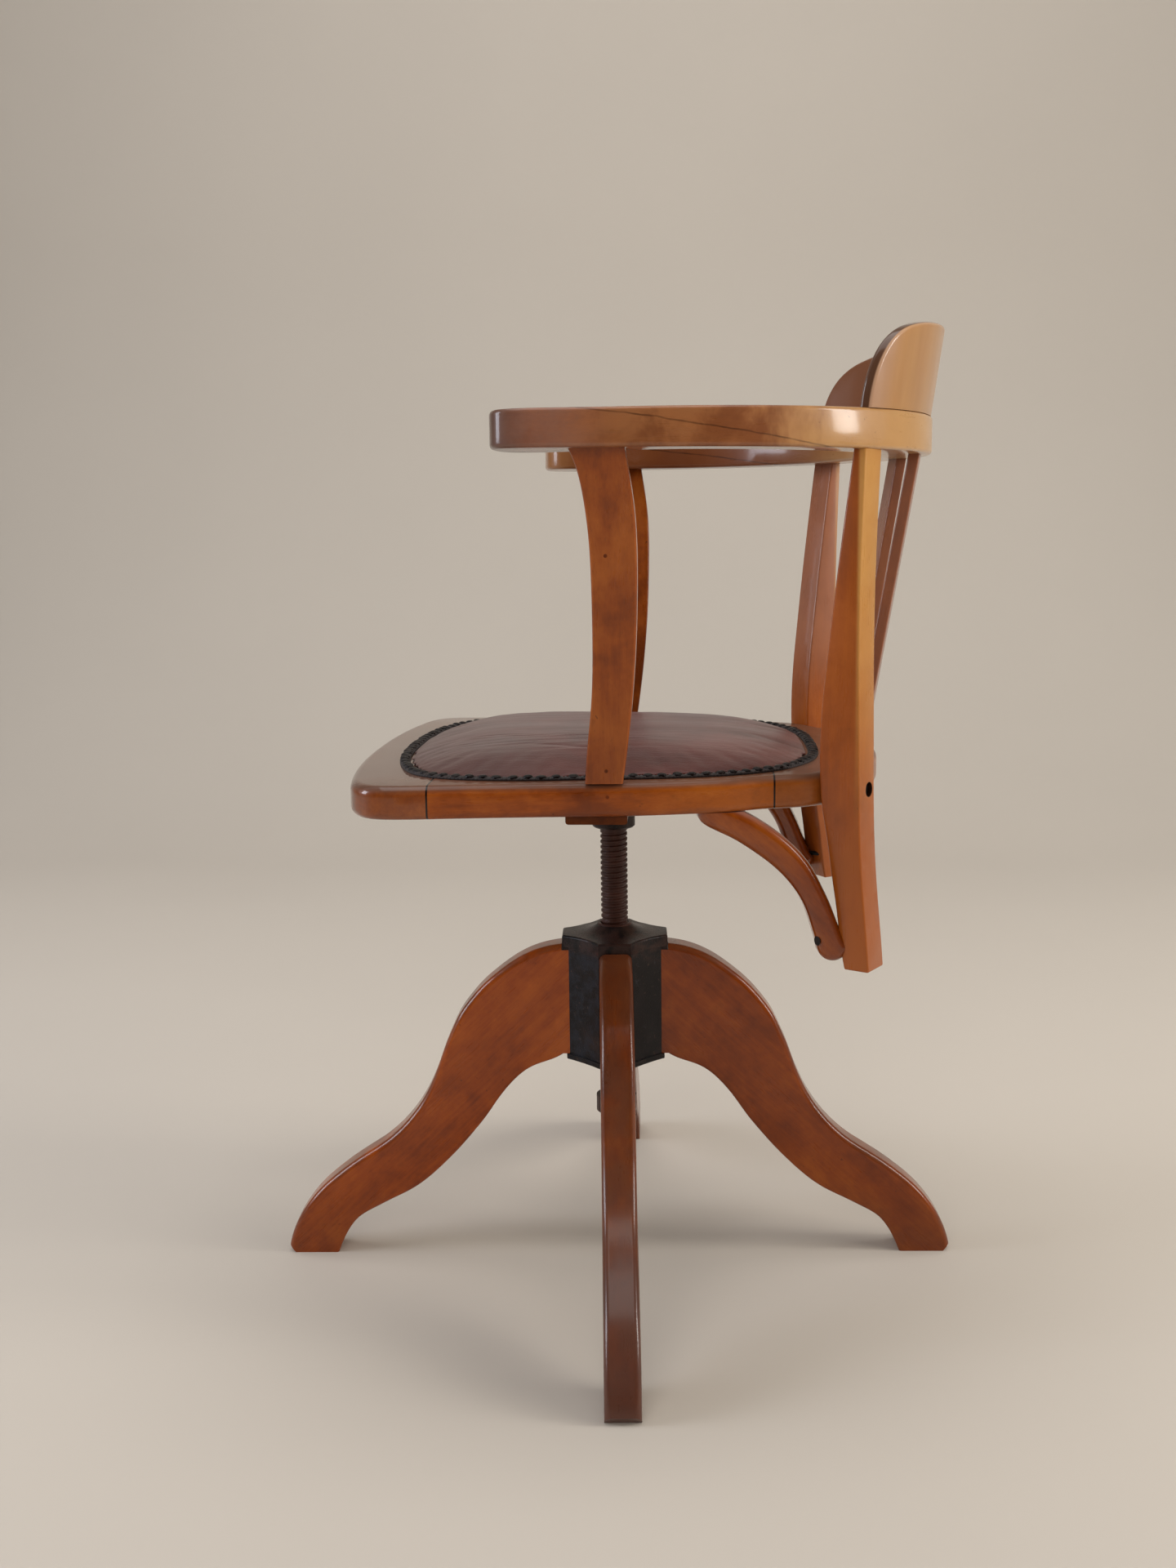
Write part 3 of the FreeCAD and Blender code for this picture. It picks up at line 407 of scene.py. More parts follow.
def leather(name):
    k = Mat(name)
    cloud = k.noise(k.p, 14, 4, 0.6, 0.6)
    patch = k.noise(k.p, 55, 4, 0.65)
    pores = k.voronoi(k.p, 620)
    grain = k.voronoi(k.vmath("ADD", k.p, (0.3, 0.1, 0.2)), 300, "DISTANCE_TO_EDGE")
    # wear runs fore and aft where the sitter slides
    along = k.noise(k.xyz(k.math("MULTIPLY", k.x, 60), k.math("MULTIPLY", k.y, 9), k.math("MULTIPLY", k.z, 60)),
                    1.0, 4, 0.6, 0.5)
    col = k.ramp(cloud, [(0.30, (0.046, 0.010, 0.008)), (0.55, (0.080, 0.018, 0.014)), (0.78, (0.115, 0.029, 0.022))])
    col = k.mix(k.math("MULTIPLY", k.step(along, 0.50, 0.78), 0.40), col, (0.115, 0.050, 0.046))
    col = k.mix(k.math("MULTIPLY", k.step(patch, 0.62, 0.80), 0.35), col, (0.030, 0.009, 0.009))
    # painted grey-mauve sheen over the front half, redder towards the back
    front = k.step(k.y, 0.02, -0.14)
    col = k.mix(k.math("MULTIPLY", front, 0.45), col, (0.060, 0.030, 0.028))
    k.put(k.b.inputs["Base Color"], col)
    k.put(k.b.inputs["Roughness"], k.math("ADD", k.math("MULTIPLY", along, 0.22), 0.27))
    k.b.inputs["Specular IOR Level"].default_value = 0.33
    k.b.inputs["Sheen Weight"].default_value = 0.08
    k.b.inputs["Sheen Roughness"].default_value = 0.45
    fold = k.noise(k.xyz(k.math("MULTIPLY", k.x, 150), k.math("MULTIPLY", k.y, 14), 0.0), 1.0, 3, 0.6, 1.2)
    h = k.math("ADD", k.math("MULTIPLY", pores, 0.55), k.math("MULTIPLY", k.step(grain, 0.0, 0.25), 0.5))
    n1 = k.bump(h, 0.35, 0.00028)
    n2 = k.bump(fold, 0.30, 0.0011, n1)
    k.put(k.b.inputs["Normal"], n2)
    return k.m


def braid_material():
    k = Mat("braid_dark")
    w = k.noise(k.p, 900, 3, 0.6)
    b = k.noise(k.p, 60, 3, 0.6)
    col = k.ramp(w, [(0.35, (0.005, 0.003, 0.003)), (0.60, (0.014, 0.007, 0.006)), (0.80, (0.045, 0.024, 0.022))])
    col = k.mix(k.math("MULTIPLY", k.step(b, 0.5, 0.75), 0.22), col, (0.055, 0.027, 0.024))
    k.put(k.b.inputs["Base Color"], col)
    k.put(k.b.inputs["Roughness"], k.math("ADD", k.math("MULTIPLY", w, 0.3), 0.55))
    k.b.inputs["Sheen Weight"].default_value = 0.10
    k.put(k.b.inputs["Normal"], k.bump(w, 0.5, 0.0004))
    return k.m


# ============================================================ smooth shading of the carried-over pieces
def smooth_normals(ob, limit=34.0):
    """Shades a mesh by its true surface: normals averaged over touching faces up to a crease angle."""
    me = ob.data
    nv, nl, nf = len(me.vertices), len(me.loops), len(me.polygons)
    co = np.empty(nv * 3, np.float64)
    me.vertices.foreach_get("co", co)
    co = co.reshape(-1, 3)
    li = np.empty(nl, np.int64)
    me.loops.foreach_get("vertex_index", li)
    start = np.empty(nf, np.int64)
    total = np.empty(nf, np.int64)
    me.polygons.foreach_get("loop_start", start)
    me.polygons.foreach_get("loop_total", total)
    fn = np.empty(nf * 3, np.float64)
    me.polygons.foreach_get("normal", fn)
    fn = fn.reshape(-1, 3)
    face_of = np.repeat(np.arange(nf), total)
    prev = np.arange(nl) - 1
    prev[start] = start + total - 1
    nxt = np.arange(nl) + 1
    nxt[start + total - 1] = start
    p = co[li]
    e1, e2 = co[li[nxt]] - p, co[li[prev]] - p
    n1 = np.linalg.norm(e1, axis=1)
    n2 = np.linalg.norm(e2, axis=1)
    ok = (n1 > 1e-12) & (n2 > 1e-12)
    cosang = np.ones(nl)
    cosang[ok] = np.clip((e1[ok] * e2[ok]).sum(1) / (n1[ok] * n2[ok]), -1, 1)
    ang = np.arccos(cosang)
    key = np.round(co * 1e6).astype(np.int64)
    _, grp = np.unique(key, axis=0, return_inverse=True)
    lg = grp.reshape(-1)[li]
    order = np.argsort(lg, kind="stable")
    bounds = np.flatnonzero(np.diff(lg[order])) + 1
    out = np.zeros((nl, 3))
    c = math.cos(math.radians(limit))
    for g in np.split(order, bounds):
        f = fn[face_of[g]]
        a = ang[g]
        m = (f @ f.T) >= c
        s = (m * a[None, :]) @ f
        out[g] = s
    ln = np.linalg.norm(out, axis=1)
    bad = ln < 1e-9
    out[bad] = fn[face_of[bad]]
    ln[bad] = 1
    out /= ln[:, None]
    me.polygons.foreach_set("use_smooth", np.ones(nf, bool))
    me.normals_split_custom_set(out.tolist())


def paint(node, material):
    ob = NODES[node]
    ob.data.materials.clear()
    ob.data.materials.append(material)


# ============================================================ outlines shared with the seat
def periodic(pts, n):
    """Evenly spaced points on a smooth closed curve through the given ones."""
    P = np.array(pts, float)
    m = len(P)
    d = np.linalg.norm(np.roll(P, -1, 0) - P, axis=1)
    A = np.zeros((m, m))
    B = np.zeros((m, 2))
    for i in range(m):
        h0, h1 = d[i - 1], d[i]
        A[i, i - 1] += h0
        A[i, i] += 2 * (h0 + h1)
        A[i, (i + 1) % m] += h1
        B[i] = 6 * ((P[(i + 1) % m] - P[i]) / h1 - (P[i] - P[i - 1]) / h0)
    M = np.linalg.solve(A, B)
    out = []
    for i in range(m):
        j, h = (i + 1) % m, d[i]
        t = np.linspace(0, h, 40, endpoint=False)[:, None]
        s = h - t
        out.append(M[i] * s ** 3 / (6 * h) + M[j] * t ** 3 / (6 * h)
                   + (P[i] / h - M[i] * h / 6) * s + (P[j] / h - M[j] * h / 6) * t)
    Q = np.vstack(out)
    seg = np.linalg.norm(np.roll(Q, -1, 0) - Q, axis=1)
    cum = np.concatenate([[0], np.cumsum(seg)])
    want = np.linspace(0, cum[-1], n, endpoint=False)
    Qc = np.vstack([Q, Q[:1]])
    return np.stack([np.interp(want, cum, Qc[:, k]) for k in (0, 1)], 1), cum[-1]


def inward(Q):
    t = np.roll(Q, -1, 0) - np.roll(Q, 1, 0)
    t /= np.linalg.norm(t, axis=1)[:, None]
    n = np.stack([-t[:, 1], t[:, 0]], 1)
    if ((Q.mean(0) - Q) * n).sum() < 0:
        n = -n
    return n


PAD_HALF = [(0, -189.0), (48, -188.0), (92, -183.5), (128, -175.5), (160, -163.5), (181, -148.0),
            (196, -122.0), (203.0, -91), (204.2, -58), (201.4, -25), (198.8, 8), (196.0, 41),
            (190.0, 74), (180.5, 104), (167.0, 129), (148.0, 150), (124.0, 166), (96, 177.5),
            (60, 184.5), (0, 187.0)]
PAD = PAD_HALF + [(-x, y) for x, y in reversed(PAD_HALF) if abs(x) > 1e-6]
PAD = [(x / 1000.0, y / 1000.0) for x, y in PAD]
RAIL_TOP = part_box("seat_deck")[1].z
TRIM_W = 0.0095


def new_object(name, verts, faces, material, body, replaced=(), smooth=True):
    me = bpy.data.meshes.new(name)
    me.from_pydata([tuple(v) for v in verts], [], faces)
    me.validate()
    me.update()
    ob = bpy.data.objects.new(name, me)
    scene.collection.objects.link(ob)
    if smooth:
        me.polygons.foreach_set("use_smooth", [True] * len(me.polygons))
    if material:
        me.materials.append(material)
    if body:
        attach(ob, body)
    if replaced:
        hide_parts(*replaced)
    return ob


# ============================================================ seat pad
def pad_form():
    """Crowned closed form, a little lower than the finished pad."""
    Q, _ = periodic(PAD, 240)
    n = inward(Q)
    edge = Q + n * (TRIM_W + 0.0004)
    c = np.array([0.0, -0.001])
    rings = [1.0, 0.995, 0.985, 0.97, 0.945, 0.91, 0.86, 0.79, 0.70, 0.59, 0.47, 0.34, 0.20, 0.08]
    H = 0.0158
    verts, faces = [], []
    for s in rings:
        h = H * (1 - s ** 4.6) ** 0.66 if s < 1 else 0.0
        for q in edge:
            p = c + (q - c) * s
            verts.append((p[0], p[1], RAIL_TOP + 0.0010 + h))
    m = len(edge)
    for r in range(len(rings) - 1):
        for i in range(m):
            j = (i + 1) % m
            faces.append((r * m + i, r * m + j, (r + 1) * m + j, (r + 1) * m + i))
    verts.append((c[0], c[1], RAIL_TOP + 0.0010 + H))
    top = len(verts) - 1
    last = (len(rings) - 1) * m
    for i in range(m):
        faces.append((last + i, last + (i + 1) % m, top))
    base = len(verts)
    for s in (1.0, 0.6, 0.2):
        for q in edge:
            p = c + (q - c) * s
            verts.append((p[0], p[1], RAIL_TOP + 0.0002))
    for i in range(m):
        j = (i + 1) % m
        faces.append((i, base + i, base + j, j))
        for r in range(2):
            a = base + r * m
            faces.append((a + i, a + m + i, a + m + j, a + j))
    verts.append((c[0], c[1], RAIL_TOP + 0.0002))
    bot = len(verts) - 1
    a = base + 2 * m
    for i in range(m):
        faces.append((a + i, bot, a + (i + 1) % m))
    return verts, faces


def evaluated(ob):
    dg = bpy.context.evaluated_depsgraph_get()
    dg.update()
    return bpy.data.meshes.new_from_object(ob.evaluated_get(dg), depsgraph=dg)


def make_pad(material):
    verts, faces = pad_form()
    ob = new_object("seat_pad", verts, faces, None, None)
    bm = bmesh.new()
    bm.from_mesh(ob.data)
    bmesh.ops.recalc_face_normals(bm, faces=bm.faces)
    bm.to_mesh(ob.data)
    bm.free()
    mod = ob.modifiers.new("remesh", "REMESH")
    mod.mode = "VOXEL"
    mod.voxel_size = 0.0048
    mod.use_smooth_shade = True
    me = evaluated(ob)
    ob.modifiers.clear()
    ob.data = me
    n = len(me.vertices)
    rest = np.empty(n * 3)
    me.vertices.foreach_get("co", rest)
    rest = rest.reshape(-1, 3)
    vg = ob.vertex_groups.new(name="held")
    low = [int(i) for i in np.flatnonzero(rest[:, 2] < RAIL_TOP + 0.0028)]
    vg.add(low, 1.0, "REPLACE")
    cl = ob.modifiers.new("cloth", "CLOTH")
    s = cl.settings
    s.quality = 6
    s.mass = 0.25
    s.tension_stiffness = 22
    s.compression_stiffness = 22
    s.shear_stiffness = 8
    s.bending_stiffness = 1.2
    s.use_pressure = True
    s.uniform_pressure_force = 4.0
    s.vertex_group_mass = "held"
    s.effector_weights.gravity = 0.0
    cl.collision_settings.use_collision = False
    for f in range(1, 21):
        scene.frame_set(f)
    sim = evaluated(ob)
    now = np.empty(n * 3)
    sim.vertices.foreach_get("co", now)
    now = now.reshape(-1, 3)
    move = now - rest
    ln = np.linalg.norm(move, axis=1)
    cap = 0.0060
    scale = np.where(ln > 1e-9, np.minimum(ln, cap * np.tanh(ln / cap)) / np.maximum(ln, 1e-9), 0)
    rest = rest + move * scale[:, None]
    ob.modifiers.clear()
    scene.frame_set(1)
    me.vertices.foreach_set("co", rest.reshape(-1))
    me.update()
    sub = ob.modifiers.new("sub", "SUBSURF")
    sub.levels = sub.render_levels = 1
    me2 = evaluated(ob)
    ob.modifiers.clear()
    ob.vertex_groups.clear()
    ob.data = me2
    # wear: shallow fore-and-aft creases and a little unevenness
    random.seed(7)
    creases = []
    for _ in range(26):
        side = 1 if random.random() < 0.62 else -1
        x = side * random.uniform(0.045, 0.165)
        y = random.uniform(-0.150, 0.010)
        creases.append((x, y, random.uniform(0.020, 0.050), random.uniform(0.0016, 0.0034),
                        random.uniform(0.00030, 0.00085), random.uniform(-0.20, 0.20), random.uniform(-2.5, 2.5)))
    for v in me2.vertices:
        x, y, z = v.co
        up = min(1.0, max(0.0, (z - RAIL_TOP - 0.006) / 0.010))
        if up <= 0:
            continue
        d = 0.0
        for cx, cy, ln_, wd, dp, sl, cv in creases:
            t = (y - cy) / ln_
            if abs(t) > 2.2:
                continue
            off = (x - cx) - sl * (y - cy) - cv * (y - cy) ** 2
            d += dp * math.exp(-t * t) * (0.55 * math.exp(-((off - 2 * wd) / (1.7 * wd)) ** 2)
                                          - math.exp(-(off / wd) ** 2))
        d += 0.0007 * noise.noise(Vector((x * 22, y * 14, 3.1)))
        v.co.z += d * up
    me2.polygons.foreach_set("use_smooth", [True] * len(me2.polygons))
    me2.materials.clear()
    me2.materials.append(material)
    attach(ob, "seat")
    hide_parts("seat_cushion")
    return ob


# ============================================================ braid and nails
def make_braid(material):
    Q, length = periodic(PAD, 1600)
    n = inward(Q)
    mid = Q + n * (TRIM_W / 2)
    ribs = int(round(length / 0.0034))
    sec = 12
    verts, faces = [], []
    m = len(Q)
    for i in range(m):
        ph = 2 * math.pi * ribs * i / m
        for j in range(sec + 1):
            a = math.pi * j / sec
            # slanted ribs of a woven band, a flat-topped section
            rib = 0.5 + 0.5 * math.cos(ph + 1.7 * math.cos(a))
            w = TRIM_W / 2 * (0.965 + 0.035 * rib)
            h = (0.0021 + 0.00085 * rib) * (math.sin(a) ** 0.55)
            o = -w * math.cos(a)
            p = mid[i] + n[i] * o
            verts.append((p[0], p[1], RAIL_TOP + 0.00015 + h))
    k = sec + 1
    for i in range(m):
        i2 = (i + 1) % m
        for j in range(sec):
            faces.append((i * k + j, i2 * k + j, i2 * k + j + 1, i * k + j + 1))
        faces.append((i * k + sec, i2 * k + sec, i2 * k, i * k))
    ob = new_object("gimp_braid", verts, faces, material, "seat", ("gimp_trim",))
    bm = bmesh.new()
    bm.from_mesh(ob.data)
    bmesh.ops.recalc_face_normals(bm, faces=bm.faces)
    bm.to_mesh(ob.data)
    bm.free()
    return ob


def make_nails(material):
    random.seed(11)
    Q, length = periodic(PAD, 4000)
    n = inward(Q)
    mid = Q + n * (TRIM_W / 2)
    count = int(round((length - 0.03) / 0.012))
    seg, rings = 18, 6
    verts, faces = [], []
    for c in range(count):
        i = int((c / count) * len(Q)) + random.randint(-3, 3)
        p = mid[i % len(Q)]
        nn = n[i % len(Q)]
        r = 0.0042 * random.uniform(0.92, 1.05)
        hgt = 0.0021 * random.uniform(0.80, 1.10)
        tilt = (random.uniform(-0.12, 0.12), random.uniform(-0.12, 0.12))
        cx, cy = p[0] + random.uniform(-0.0003, 0.0003), p[1] + random.uniform(-0.0003, 0.0003)
        b = len(verts)
        for a in range(rings):
            t = a / rings
            rr = r * math.cos(t * math.pi / 2) ** 0.85 if a else r
            zz = hgt * math.sin(t * math.pi / 2)
            for s in range(seg):
                q = 2 * math.pi * s / seg
                x, y = rr * math.cos(q), rr * math.sin(q)
                verts.append((cx + x, cy + y, RAIL_TOP + 0.0025 + zz + x * tilt[0] + y * tilt[1]))
        verts.append((cx, cy, RAIL_TOP + 0.0025 + hgt))
        top = len(verts) - 1
        # skirt down into the braid
        for s in range(seg):
            q = 2 * math.pi * s / seg
            verts.append((cx + r * 0.98 * math.cos(q), cy + r * 0.98 * math.sin(q), RAIL_TOP + 0.0012))
        sk = top + 1
        for a in range(rings - 1):
            for s in range(seg):
                s2 = (s + 1) % seg
                faces.append((b + a * seg + s, b + a * seg + s2, b + (a + 1) * seg + s2, b + (a + 1) * seg + s))
        for s in range(seg):
            s2 = (s + 1) % seg
            faces.append((b + (rings - 1) * seg + s, b + (rings - 1) * seg + s2, top))
            faces.append((sk + s, sk + s2, b + s2, b + s))
        faces.append(tuple(sk + s for s in reversed(range(seg))))
    return new_object("dome_nails", verts, faces, material, "seat", ("upholstery_nails",))


# ============================================================ height screw
def make_screw(material):
    lo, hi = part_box("spindle")
    R, pitch, depth = 0.0127, 0.00508, 0.0011
    z0, z1 = lo.z, hi.z
    zt0, zt1 = z0 + 0.006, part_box("seat_iron")[0].z - 0.0015
    seg, per = 72, 14
    rows = []
    z = z0
    rows.append(z0)
    rows.append(z0 + 0.002)
    steps = int((zt1 - zt0) / pitch * per)
    rows += [zt0 + (zt1 - zt0) * i / steps for i in range(steps + 1)]
    rows += [zt1 + 0.0015, z1]
    verts, faces = [], []
    for z in rows:
        for s in range(seg):
            th = 2 * math.pi * s / seg
            ph = (z / pitch - th / (2 * math.pi)) % 1.0
            t = abs(ph - 0.5) * 2          # 0 at the crest's middle, 1 at the root's middle
            g = min(1.0, max(0.0, (t - 0.40) / 0.28))
            g = g * g * (3 - 2 * g)
            fade = min(1.0, max(0.0, (z - zt0) / 0.003)) * min(1.0, max(0.0, (zt1 - z) / 0.003))
            r = R - depth * g * fade
            r -= 0.00008 * fade * (0.5 + 0.5 * noise.noise(Vector((math.cos(th) * 3, math.sin(th) * 3, z * 260))))
            if z < z0 + 0.001:
                r = R - 0.002
            verts.append((r * math.cos(th), r * math.sin(th), z))
    n = len(rows)
    for i in range(n - 1):
        for s in range(seg):
            s2 = (s + 1) % seg
            faces.append((i * seg + s, i * seg + s2, (i + 1) * seg + s2, (i + 1) * seg + s))
    faces.append(tuple(reversed(range(seg))))
    faces.append(tuple((n - 1) * seg + s for s in range(seg)))
    return new_object("height_screw", verts, faces, material, "seat", ("spindle",))


# ============================================================ build
for nm, ob in NODES.items():
    smooth_normals(ob)

JY = 0.139
SCARF_U = (-0.36105, 0.93255)
joint_planes = (((0, 1, 0), JY, 0.0011), ((0, 1, 0), -JY, 0.0011))
POST_C = (math.cos(math.radians(58.0)), math.sin(math.radians(58.0)))


def arm_tint(k, col):
    """Hand rests dark with handling and rubbed grey-pink; the bow turns golden towards the back, partly worn wood and
    partly painted light; painted shade on the far arm and a painted highlight on its front end.
    """
    n = k.noise(k.p, 26, 4, 0.62, 0.4)
    near = k.step(k.x, -0.03, 0.03)
    far = k.step(k.x, 0.03, -0.03)
    # golden towards the back: partly worn wood, partly painted light where the bow faces the light, brighter still at
    # the rear
    gold_wear_and_light = k.step(k.math("ADD", k.y, k.math("MULTIPLY", n, 0.11)), 0.160, 0.255)
    tan = k.mix(k.step(n, 0.36, 0.64), (0.165, 0.062, 0.026), (0.300, 0.128, 0.052))
    col = k.mix(k.math("MULTIPLY", k.step(k.y, -0.06, 0.03), 0.78), col, tan)
    col = k.mix(k.math("MULTIPLY", gold_wear_and_light, k.math("ADD", k.math("MULTIPLY", n, 0.5), 0.56)), col, GOLD)
    col = k.mix(k.math("MULTIPLY", k.step(k.y, 0.19, 0.27), 0.55), col, (0.640, 0.370, 0.155))
    sp = k.noise(k.p, 210, 2, 0.5)
    col = k.mix(k.math("MULTIPLY", k.math("MULTIPLY", k.step(sp, 0.70, 0.78), gold_wear_and_light), 0.6), col, (0.09, 0.034, 0.012))
    # painted shade darkens the far arm, and a painted golden highlight lights its front end
    far_arm_shade = k.math("MULTIPLY", far, k.step(k.y, 0.25, 0.17))
    col = k.mix(k.math("MULTIPLY", far_arm_shade, 0.90), col, (0.150, 0.042, 0.012))
    far_end_highlight = k.math("MULTIPLY", far, k.step(k.math("ADD", k.y, k.math("MULTIPLY", n, 0.02)), -0.005, -0.070))
    col = k.mix(k.math("MULTIPLY", far_end_highlight, 0.55), col, (0.380, 0.185, 0.070))
    n2 = k.noise(k.vmath("ADD", k.p, (0.2, 0.4, 0.1)), 42, 4, 0.7)
    rub = k.math("MULTIPLY", k.step(k.y, 0.020, -0.030), near)
    col = k.mix(k.math("MULTIPLY", rub, k.math("ADD", k.math("MULTIPLY", n2, 0.7), 0.30)), col, (0.215, 0.115, 0.086))
    front = k.step(k.math("ADD", k.y, k.math("MULTIPLY", k.math("SUBTRACT", n2, 0.5), 0.02)), -0.040, -0.080)
    front = k.math("MULTIPLY", front, near)
    col = k.mix(k.math("MULTIPLY", front, 0.80), col, (0.058, 0.029, 0.020))
    return col, rub


def seat_tint(k, col):
    n = k.noise(k.p, 42, 4, 0.65)
    col = k.mix(k.math("MULTIPLY", k.step(n, 0.52, 0.72), 0.35), col, DEEP)
    # the sides are warmer amber behind the arm post, the top is dulled by hands and dust
    amber = k.math("MULTIPLY", k.step(k.y, -0.02, 0.12), 0.35)
    col = k.mix(amber, col, (0.36, 0.105, 0.012))
    ends = k.step(k.math("ABSOLUTE", k.y), 0.138, 0.142)
    col = k.mix(k.math("MULTIPLY", ends, 0.35), col, (0.110, 0.036, 0.014))
    corner = k.math("MULTIPLY", k.step(k.y, -0.160, -0.205), k.step(n, 0.34, 0.60))
    col = k.mix(k.math("MULTIPLY", corner, 0.65), col, (0.090, 0.034, 0.016))
    top = k.step(k.z, RAIL_TOP - 0.0070, RAIL_TOP - 0.0015)
    col = k.mix(k.math("MULTIPLY", top, 0.78), col, (0.092, 0.046, 0.030))
    return col, top


def post_tint(k, col):
    n = k.noise(k.p, 16, 3, 0.5)
    col = k.mix(k.math("MULTIPLY", n, 0.8), col, (0.39, 0.105, 0.022))
    col = k.mix(k.math("MULTIPLY", k.step(k.z, 0.46, 0.42), k.step(n, 0.35, 0.6)), col, (0.30, 0.075, 0.010))
    # painted light: the outward face is painted bright golden where it faces the light, less so below the seat
    rho = k.math("ADD", k.math("MULTIPLY", k.math("ABSOLUTE", k.x), POST_C[0]), k.math("MULTIPLY", k.y, POST_C[1]))
    lit_outer_face = k.math("MULTIPLY", k.step(rho, 0.2700, 0.2736), k.step(k.z, 0.42, 0.68))
    g = k.mix(k.noise(k.p, 30, 3, 0.6), (0.46, 0.20, 0.045), (0.62, 0.34, 0.105))
    col = k.mix(k.math("MULTIPLY", lit_outer_face, 0.88), col, g)
    # painted sheen: the far post is paler where it reflects bright surroundings
    col = k.mix(k.math("MULTIPLY", k.step(k.x, 0.0, -0.05), k.math("MULTIPLY", k.step(k.z, 0.50, 0.60), 0.50)), col, (0.360, 0.185, 0.125))
    # painted shade inside the deep bolt bore
    tau = k.math("SUBTRACT", k.math("MULTIPLY", k.y, POST_C[0]), k.math("MULTIPLY", k.math("ABSOLUTE", k.x), POST_C[1]))
    hole_shade = k.vmath("LENGTH", k.xyz(k.math("ADD", tau, 0.0335), k.math("SUBTRACT", k.z, 0.4805), 0.0))
    hole_shade = k.math("MULTIPLY", k.step(hole_shade, 0.0066, 0.0059), k.step(rho, 0.262, 0.266))
    return k.mix(hole_shade, col, (0.004, 0.002, 0.001)), 0.0


def apost_tint(k, col):
    low = k.step(k.z, 0.60, 0.50)
    return k.mix(k.math("MULTIPLY", low, 0.25), col, DEEP), 0.0


def slat_tint(k, col):
    return k.mix(0.62, col, (0.255, 0.120, 0.078)), 0.0


def brace_tint(k, col):
    tc = k.n("ShaderNodeTexCoord")
    sep = k.n("ShaderNodeSeparateXYZ")
    k.l(tc.outputs["Normal"], sep.inputs[0])
    # painted highlight: up-facing surfaces of the brace lightened to a lilac sheen
    up = k.step(sep.outputs[2], 0.45, 0.92)
    return k.mix(k.math("MULTIPLY", up, 0.62), col, (0.360, 0.215, 0.185)), 0.0


def leg_tint(k, col):
    tc = k.n("ShaderNodeTexCoord")
    sep = k.n("ShaderNodeSeparateXYZ")
    k.l(tc.outputs["Normal"], sep.inputs[0])
    # painted dark reflection: the upper rounding of each leg is darkened
    edge = k.math("MULTIPLY", k.step(sep.outputs[2], 0.06, 0.40), k.step(k.noise(k.p, 18, 3, 0.6), 0.30, 0.60))
    col = k.mix(k.math("MULTIPLY", edge, 0.60), col, (0.085, 0.032, 0.016))
    low = k.step(k.z, 0.09, 0.005)
    n = k.noise(k.p, 40, 3, 0.6)
    col = k.mix(k.math("MULTIPLY", low, k.math("ADD", k.math("MULTIPLY", n, 0.6), 0.05)), col, DEEP)
    return col, 0.0


def near_leg_tint(k, col):
    col, _ = leg_tint(k, col)
    return k.mix(k.math("MULTIPLY", k.step(k.z, 0.24, 0.03), 0.60), col, (0.070, 0.034, 0.026)), 0.0


def crest_tint(k, col):
    """Golden outside, partly worn wood and partly painted light, with painted highlights towards the ends and along the
    outer edge; dark brown on the sitter's side and on the end faces.
    """
    rad = k.math("SQRT", k.math("ADD", k.math("MULTIPLY", k.x, k.x), k.math("MULTIPLY", k.y, k.y)))
    rel = k.math("SUBTRACT", k.math("SUBTRACT", rad, k.math("MULTIPLY", k.math("SUBTRACT", k.z, 0.7811), 0.14)), 0.2779)
    inner = k.step(rel, 0.0034, 0.0022)
    side = k.step(k.math("ABSOLUTE", k.x), 0.160, 0.184)
    n = k.noise(k.xyz(k.math("MULTIPLY", k.x, 60), k.math("MULTIPLY", k.y, 60), k.math("MULTIPLY", k.z, 9)), 1.0, 3, 0.55)
    # golden outer face: partly worn wood, partly painted light
    gold_wear_and_light = k.mix(n, (0.400, 0.190, 0.056), (0.520, 0.285, 0.098))
    col = k.mix(0.86, col, gold_wear_and_light)
    # painted highlight: the outer face paler towards both ends
    col = k.mix(k.math("MULTIPLY", side, 0.50), col, (0.370, 0.225, 0.170))
    # painted highlight along the outer edge
    arris_highlight = k.math("MULTIPLY", k.step(rel, 0.0020, 0.0034), k.step(rel, 0.0050, 0.0036))
    col = k.mix(k.math("MULTIPLY", arris_highlight, 0.35), col, (0.560, 0.380, 0.290))
    dark = k.mix(k.step(k.x, -0.04, 0.10), (0.150, 0.052, 0.024), (0.072, 0.030, 0.016))
    col = k.mix(k.math("MULTIPLY", inner, 0.95), col, dark)
    return col, 0.0


BROWN = (DARK, MID, LIGHT)
RED = tuple((c[0], c[1] * 0.86, c[2] * 0.5) for c in BROWN)
# the factor f sets each leg's brightness as painted light and shade: the front leg brightest, the near and far legs
# darker
for i, (nm, a, f) in enumerate((("leg_left", 2, 0.60), ("leg_rear", 92, 0.80), ("leg_right", 182, 0.55),
                                ("leg_front", 272, 1.18))):
    ca, sa = math.cos(math.radians(a)), math.sin(math.radians(a))
    paint(nm, wood("beech_" + nm, (0.72 * ca, 0.72 * sa, -0.69), seed=3.1 + i, tone=shade(RED, f), cloud=0.62,
                   tint=near_leg_tint if i == 0 else leg_tint, coat=0.55, coat_rough=0.18 if i == 0 else 0.12))
paint("front_rail", wood("beech_front_rail", (1, 0, 0), seed=8.2, tint=seat_tint, planes=joint_planes,
                         coat=0.9, coat_rough=0.07))
paint("rear_rail", wood("beech_rear_rail", polar=True, seed=9.4, tint=seat_tint, planes=joint_planes))
for i, nm in enumerate(("side_rail_left", "side_rail_right")):
    paint(nm, wood("beech_" + nm, (0, 1, 0), seed=10.6 + i, tint=seat_tint, planes=joint_planes))
